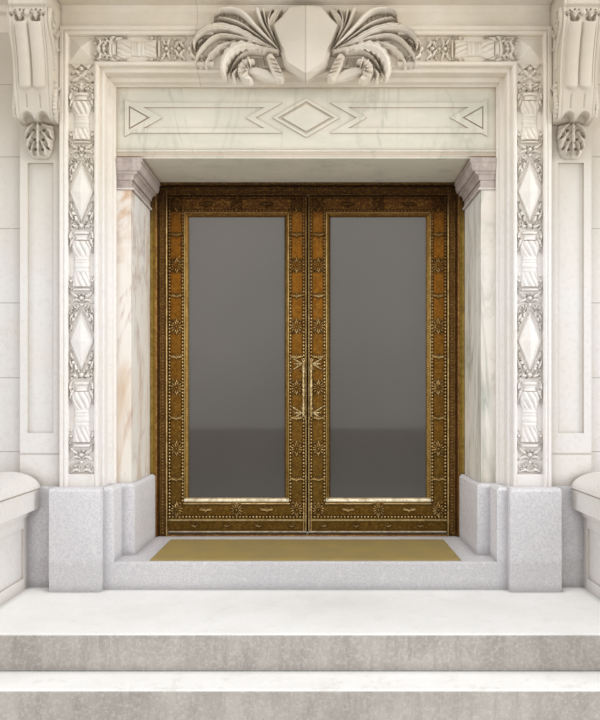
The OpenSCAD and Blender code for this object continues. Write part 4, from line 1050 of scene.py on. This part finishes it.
def leaf_ornament():
    """Everything that is applied to one leaf, gathered by piece."""
    beads, flowers, edging = Shape(), Shape(), Shape()
    for offset in ROW_OFFSETS:
        beads.repeat(dome(0.0086, 0.01), [place for place in frame_places(offset, BEAD_PITCH, PANEL_FACE)
                                          if offset > 0.1 or place[2] > 0.77])
    beads.repeat(dome(0.0046, 0.0042, 6, 1.3), [(0.0105, 0.0005, z) for z in np.arange(0.59, LEAF_HEAD, 0.013)])
    rails = (ROSETTE_HEIGHTS[0], ROSETTE_HEIGHTS[-1])
    middles = (ROSETTE_HEIGHTS[1:] + ROSETTE_HEIGHTS[:-1]) / 2
    for form, places in (
            (rosette(), [(x, z) for x in STILES for z in ROSETTE_HEIGHTS] + [(PANE_MIDDLE[0], z) for z in rails]),
            (palmette(), [(x, z) for x in STILES for z in middles]
             + [(PANE_MIDDLE[0] + side * BOSS_STEP, z) for side in (-1, 1) for z in rails]),
            (palmette(0.62), [(x, 0.602) for x in (0.113, 0.345, 0.5735, 0.8)])):
        flowers.repeat(form, [(x, PANEL_FACE, z) for x, z in places])
    glazing_row(edging)
    bar = turned_rod([(0.56, 0.0035), (0.566, 0.005), (0.58, 0.0042),
                      (0.745, 0.0042), (0.756, 0.0052), (0.762, 0.003)], 10)
    edging.repeat(bar, [(x, 0.001, 0) for x in (0.0112, 0.0262)])
    ledge = turned_flat(turned_rod([(-0.38, 0.003), (-0.376, 0.0048), (0.376, 0.0048), (0.38, 0.003)], 10), 90)
    edging.add(ledge, (PANE_MIDDLE[0], 0.004, 0.7575))
    return {"beads": beads, "flowers": flowers, "edging": edging}


def leaf_pieces(gold, quiet):
    """The applied ornament of both leaves, the flowers in a quieter gilding."""
    for kind, shape in leaf_ornament().items():
        pair(shape.form(), (0, 0, 0), "{}_leaf_" + kind, "{}_leaf", "leaf_bronze",
             quiet if kind == "flowers" else gold)


def seal_pieces(material):
    """A dark brush on each meeting edge, one behind the other, that closes the gap between the leaves."""
    section = np.array([(-0.0056, 0), (-0.001, 0.001), (0.003, 0.0035), (0.003, 0.0045), (-0.001, 0.007),
                        (-0.0056, 0.008)])
    for name, y in (("left", 0.02), ("right", 0.032)):
        form = tube([np.column_stack([section + (0, y), np.full(len(section), z)])
                     for z in np.linspace(SEAL_FOOT, LEAF_HEAD, 40)])
        Shape(form if name == "left" else mirrored(form)).piece(
            f"{name}_leaf_seal", f"{name}_leaf", "leaf_bronze", material)


def pull():
    """A twisted rod with ball ends on two posts, with its leafy plates, about its own middle."""
    half, reach, ball = 0.188, 0.053, 0.0095
    body = [(z, 0.0068 + 0.0022 * math.cos(math.pi * z / half) ** 2)
            for z in np.linspace(-half + 0.012, half - 0.012, 72)]
    shape = Shape(turned_rod(body, 18, lobes=3, depth=0.16, twist=190), (0, -reach, 0))
    knob = [(ball * math.sin(a), max(ball * math.cos(a), 0.0006)) for a in np.linspace(-1.5, 1.5, 9)]
    ring = [(-0.004, 0.006), (-0.003, 0.0092), (0, 0.0104), (0.003, 0.0092), (0.004, 0.006)]
    post, faces = turned_rod([(0, 0.0095), (0.006, 0.0105), (0.012, 0.007), (0.03, 0.0062), (0.044, 0.0078),
                              (reach, 0.0085)], 14)
    lying = post[:, [0, 2, 1]] * (1, -1, 1), faces
    for way in (-1, 1):
        shape.add(turned_rod(knob, 14), (0, -reach, way * (half - 0.002)))
        shape.repeat(turned_rod(ring, 16), [(0, -reach, way * z) for z in (half - 0.014, half - 0.04, 0)])
        for form in (lying, bracket()):
            shape.add(form, (0, 0, way * (half - 0.014)))
    return shape.form()


def frame_pieces(gold):
    """A ribbon of small beads up the door frame and along its head."""
    bead, shape = dome(0.006, 0.006, long=1.5), Shape()
    beside, face, head = RIBBON
    shape.repeat(bead, [(side * beside, face, z) for side in (-1, 1) for z in np.arange(0.56, 2.93, 0.022)])
    lying, faces = dome(0.006, 0.006)
    shape.repeat((lying * (1.5, 1, 1), faces), [(x, face, head) for x in np.linspace(-0.98, 0.98, 90)])
    shape.piece("frame_ribbon", "doorway", "frame_bronze", gold)


def paint_nodes(carved, plain, pull_gold, mat):
    """Gives every CAD node the material of the longest name that it starts with, or the carved stone."""
    steps, base, jamb, glass, leaf = step_stone(), granite(), frame_bronze(), pane(), leaf_bronze()
    finishes = {
        "lower_step": steps, "landing": steps, "sill": base, "plinth": base, "reveal_plinth": base,
        "pilaster_left": reveal_marble("reveal_marble_left", (0.58, 0.37, 0.2), (0.56, 0.42, 0.37), (0.42, 0.3, 0.25)),
        "pilaster_right": reveal_marble(
            "reveal_marble_right", (0.42, 0.44, 0.37), (0.56, 0.53, 0.47), (0.56, 0.56, 0.5)),
        "lintel": lintel_marble(), "capital": capital_marble(), "outer_pilaster": plain, "cheek_wall": plain,
        "wall": wall_stone("wall_stone", (1.18, 1.636, 2.098, 2.557, 3, 3.446, 3.9)),
        "shield": wall_stone("shield_stone", middle=1, high=(0.62, 0.555, 0.45)),
        "entrance_mat": mat, "door_frame": jamb, "threshold": jamb, "left_": leaf, "right_": leaf,
        "left_glass": glass, "right_glass": glass, "left_pull": pull_gold, "right_pull": pull_gold}
    for name, node in NODES.items():
        chosen = [key for key in finishes if name.startswith(key)]
        node.data.materials.clear()
        node.data.materials.append(finishes[max(chosen, key=len)] if chosen else carved)


# Stage, light and camera

MIDDLE = (0, -0.4, 1.9)


def stage():
    """A pale floor under soft studio light."""
    bpy.ops.mesh.primitive_plane_add(size=60, location=(0, 0, 0))
    floor = bpy.context.object
    floor.name = "floor"
    paper = Finish("floor_paper", 0.9, 0.1)
    paper.body = paper.mix(paper.noise(0.4, 2), (0.8, 0.8, 0.8), (0.83, 0.83, 0.82))
    floor.data.materials.append(paper.done())


def lamp(name, place, size, watts, aim=MIDDLE):
    """A square soft light that points at aim."""
    data = bpy.data.lights.new(name, "AREA")
    data.shape = "SQUARE"
    data.size = size
    data.energy = watts
    placed(name, data, place).rotation_euler = (Vector(aim) - Vector(place)).to_track_quat("-Z", "Y").to_euler()


def light():
    """White surroundings for the camera and reflections, with a softer sky for the surfaces."""
    world = bpy.data.worlds.new("studio")
    bpy.context.scene.world = world
    world.use_nodes = True
    sky = Nodes(world.node_tree)
    back = sky.tree.nodes["Background"].inputs
    back["Color"].default_value = (1, 1, 1, 1)
    rays = sky.add("LightPath").outputs
    seen = sky.sum(rays["Is Camera Ray"], rays["Is Glossy Ray"], "MAXIMUM")
    seen = sky.sum(seen, rays["Is Transmission Ray"], "MAXIMUM")
    sky.put(back["Strength"], sky.span(seen, 0, 1, 0.5, 1))
    lamp("key", (13, -6, 3.6), 4, 930)
    lamp("fill", (-13, -6, 3.6), 4, 440)
    lamp("front_right", (3.9, -6.2, 3.2), 2.4, 58)
    lamp("front_left", (-3.9, -6.2, 3.2), 2.4, 44)
    lamp("sky", (0.2, -3.2, 8), 3, 205, (0, -1, 1))


def camera():
    """The photograph's viewpoint."""
    data = bpy.data.cameras.new("photo_camera")
    data.lens = LENS
    data.sensor_width = 36
    data.shift_x = SHIFT_X
    data.shift_y = SHIFT_Y
    eye = placed("photo_camera", data, EYE)
    eye.rotation_euler = (math.radians(90), 0, 0)
    bpy.context.scene.camera = eye
    bpy.context.scene.view_settings.view_transform = "Standard"


camera()
marble, ashlar, coir_pile = carved_stone(), wall_stone("plain_stone"), coir()
pull_gold = gilding("pull_gilding", (0.72, 0.58, 0.33), (0.4, 0.28, 0.11), 0.3)
paint_nodes(marble, ashlar, pull_gold, coir_pile)
band_pieces(marble)
# The fans get a stronger share of painted shade, with soiling, in their deep hollows.
fan_pieces(carved_stone("fan_stone", 0.85))
console_pieces(ashlar)
mat_piece(coir_pile)
seal_pieces(brush())
leaf_pieces(gilding("ornament_gilding", (0.86, 0.66, 0.33), (0.5, 0.3, 0.09)),
            gilding("flower_gilding", (0.56, 0.4, 0.17), (0.34, 0.2, 0.06)))
pair(pull(), (0.027, PANEL_FACE, 1.576), "{}_pull_handle", "{}_leaf", "handle_bronze", pull_gold, "{}_pull")
frame_pieces(gilding("frame_gilding", (0.3, 0.19, 0.07), (0.16, 0.09, 0.03)))
stage()
light()
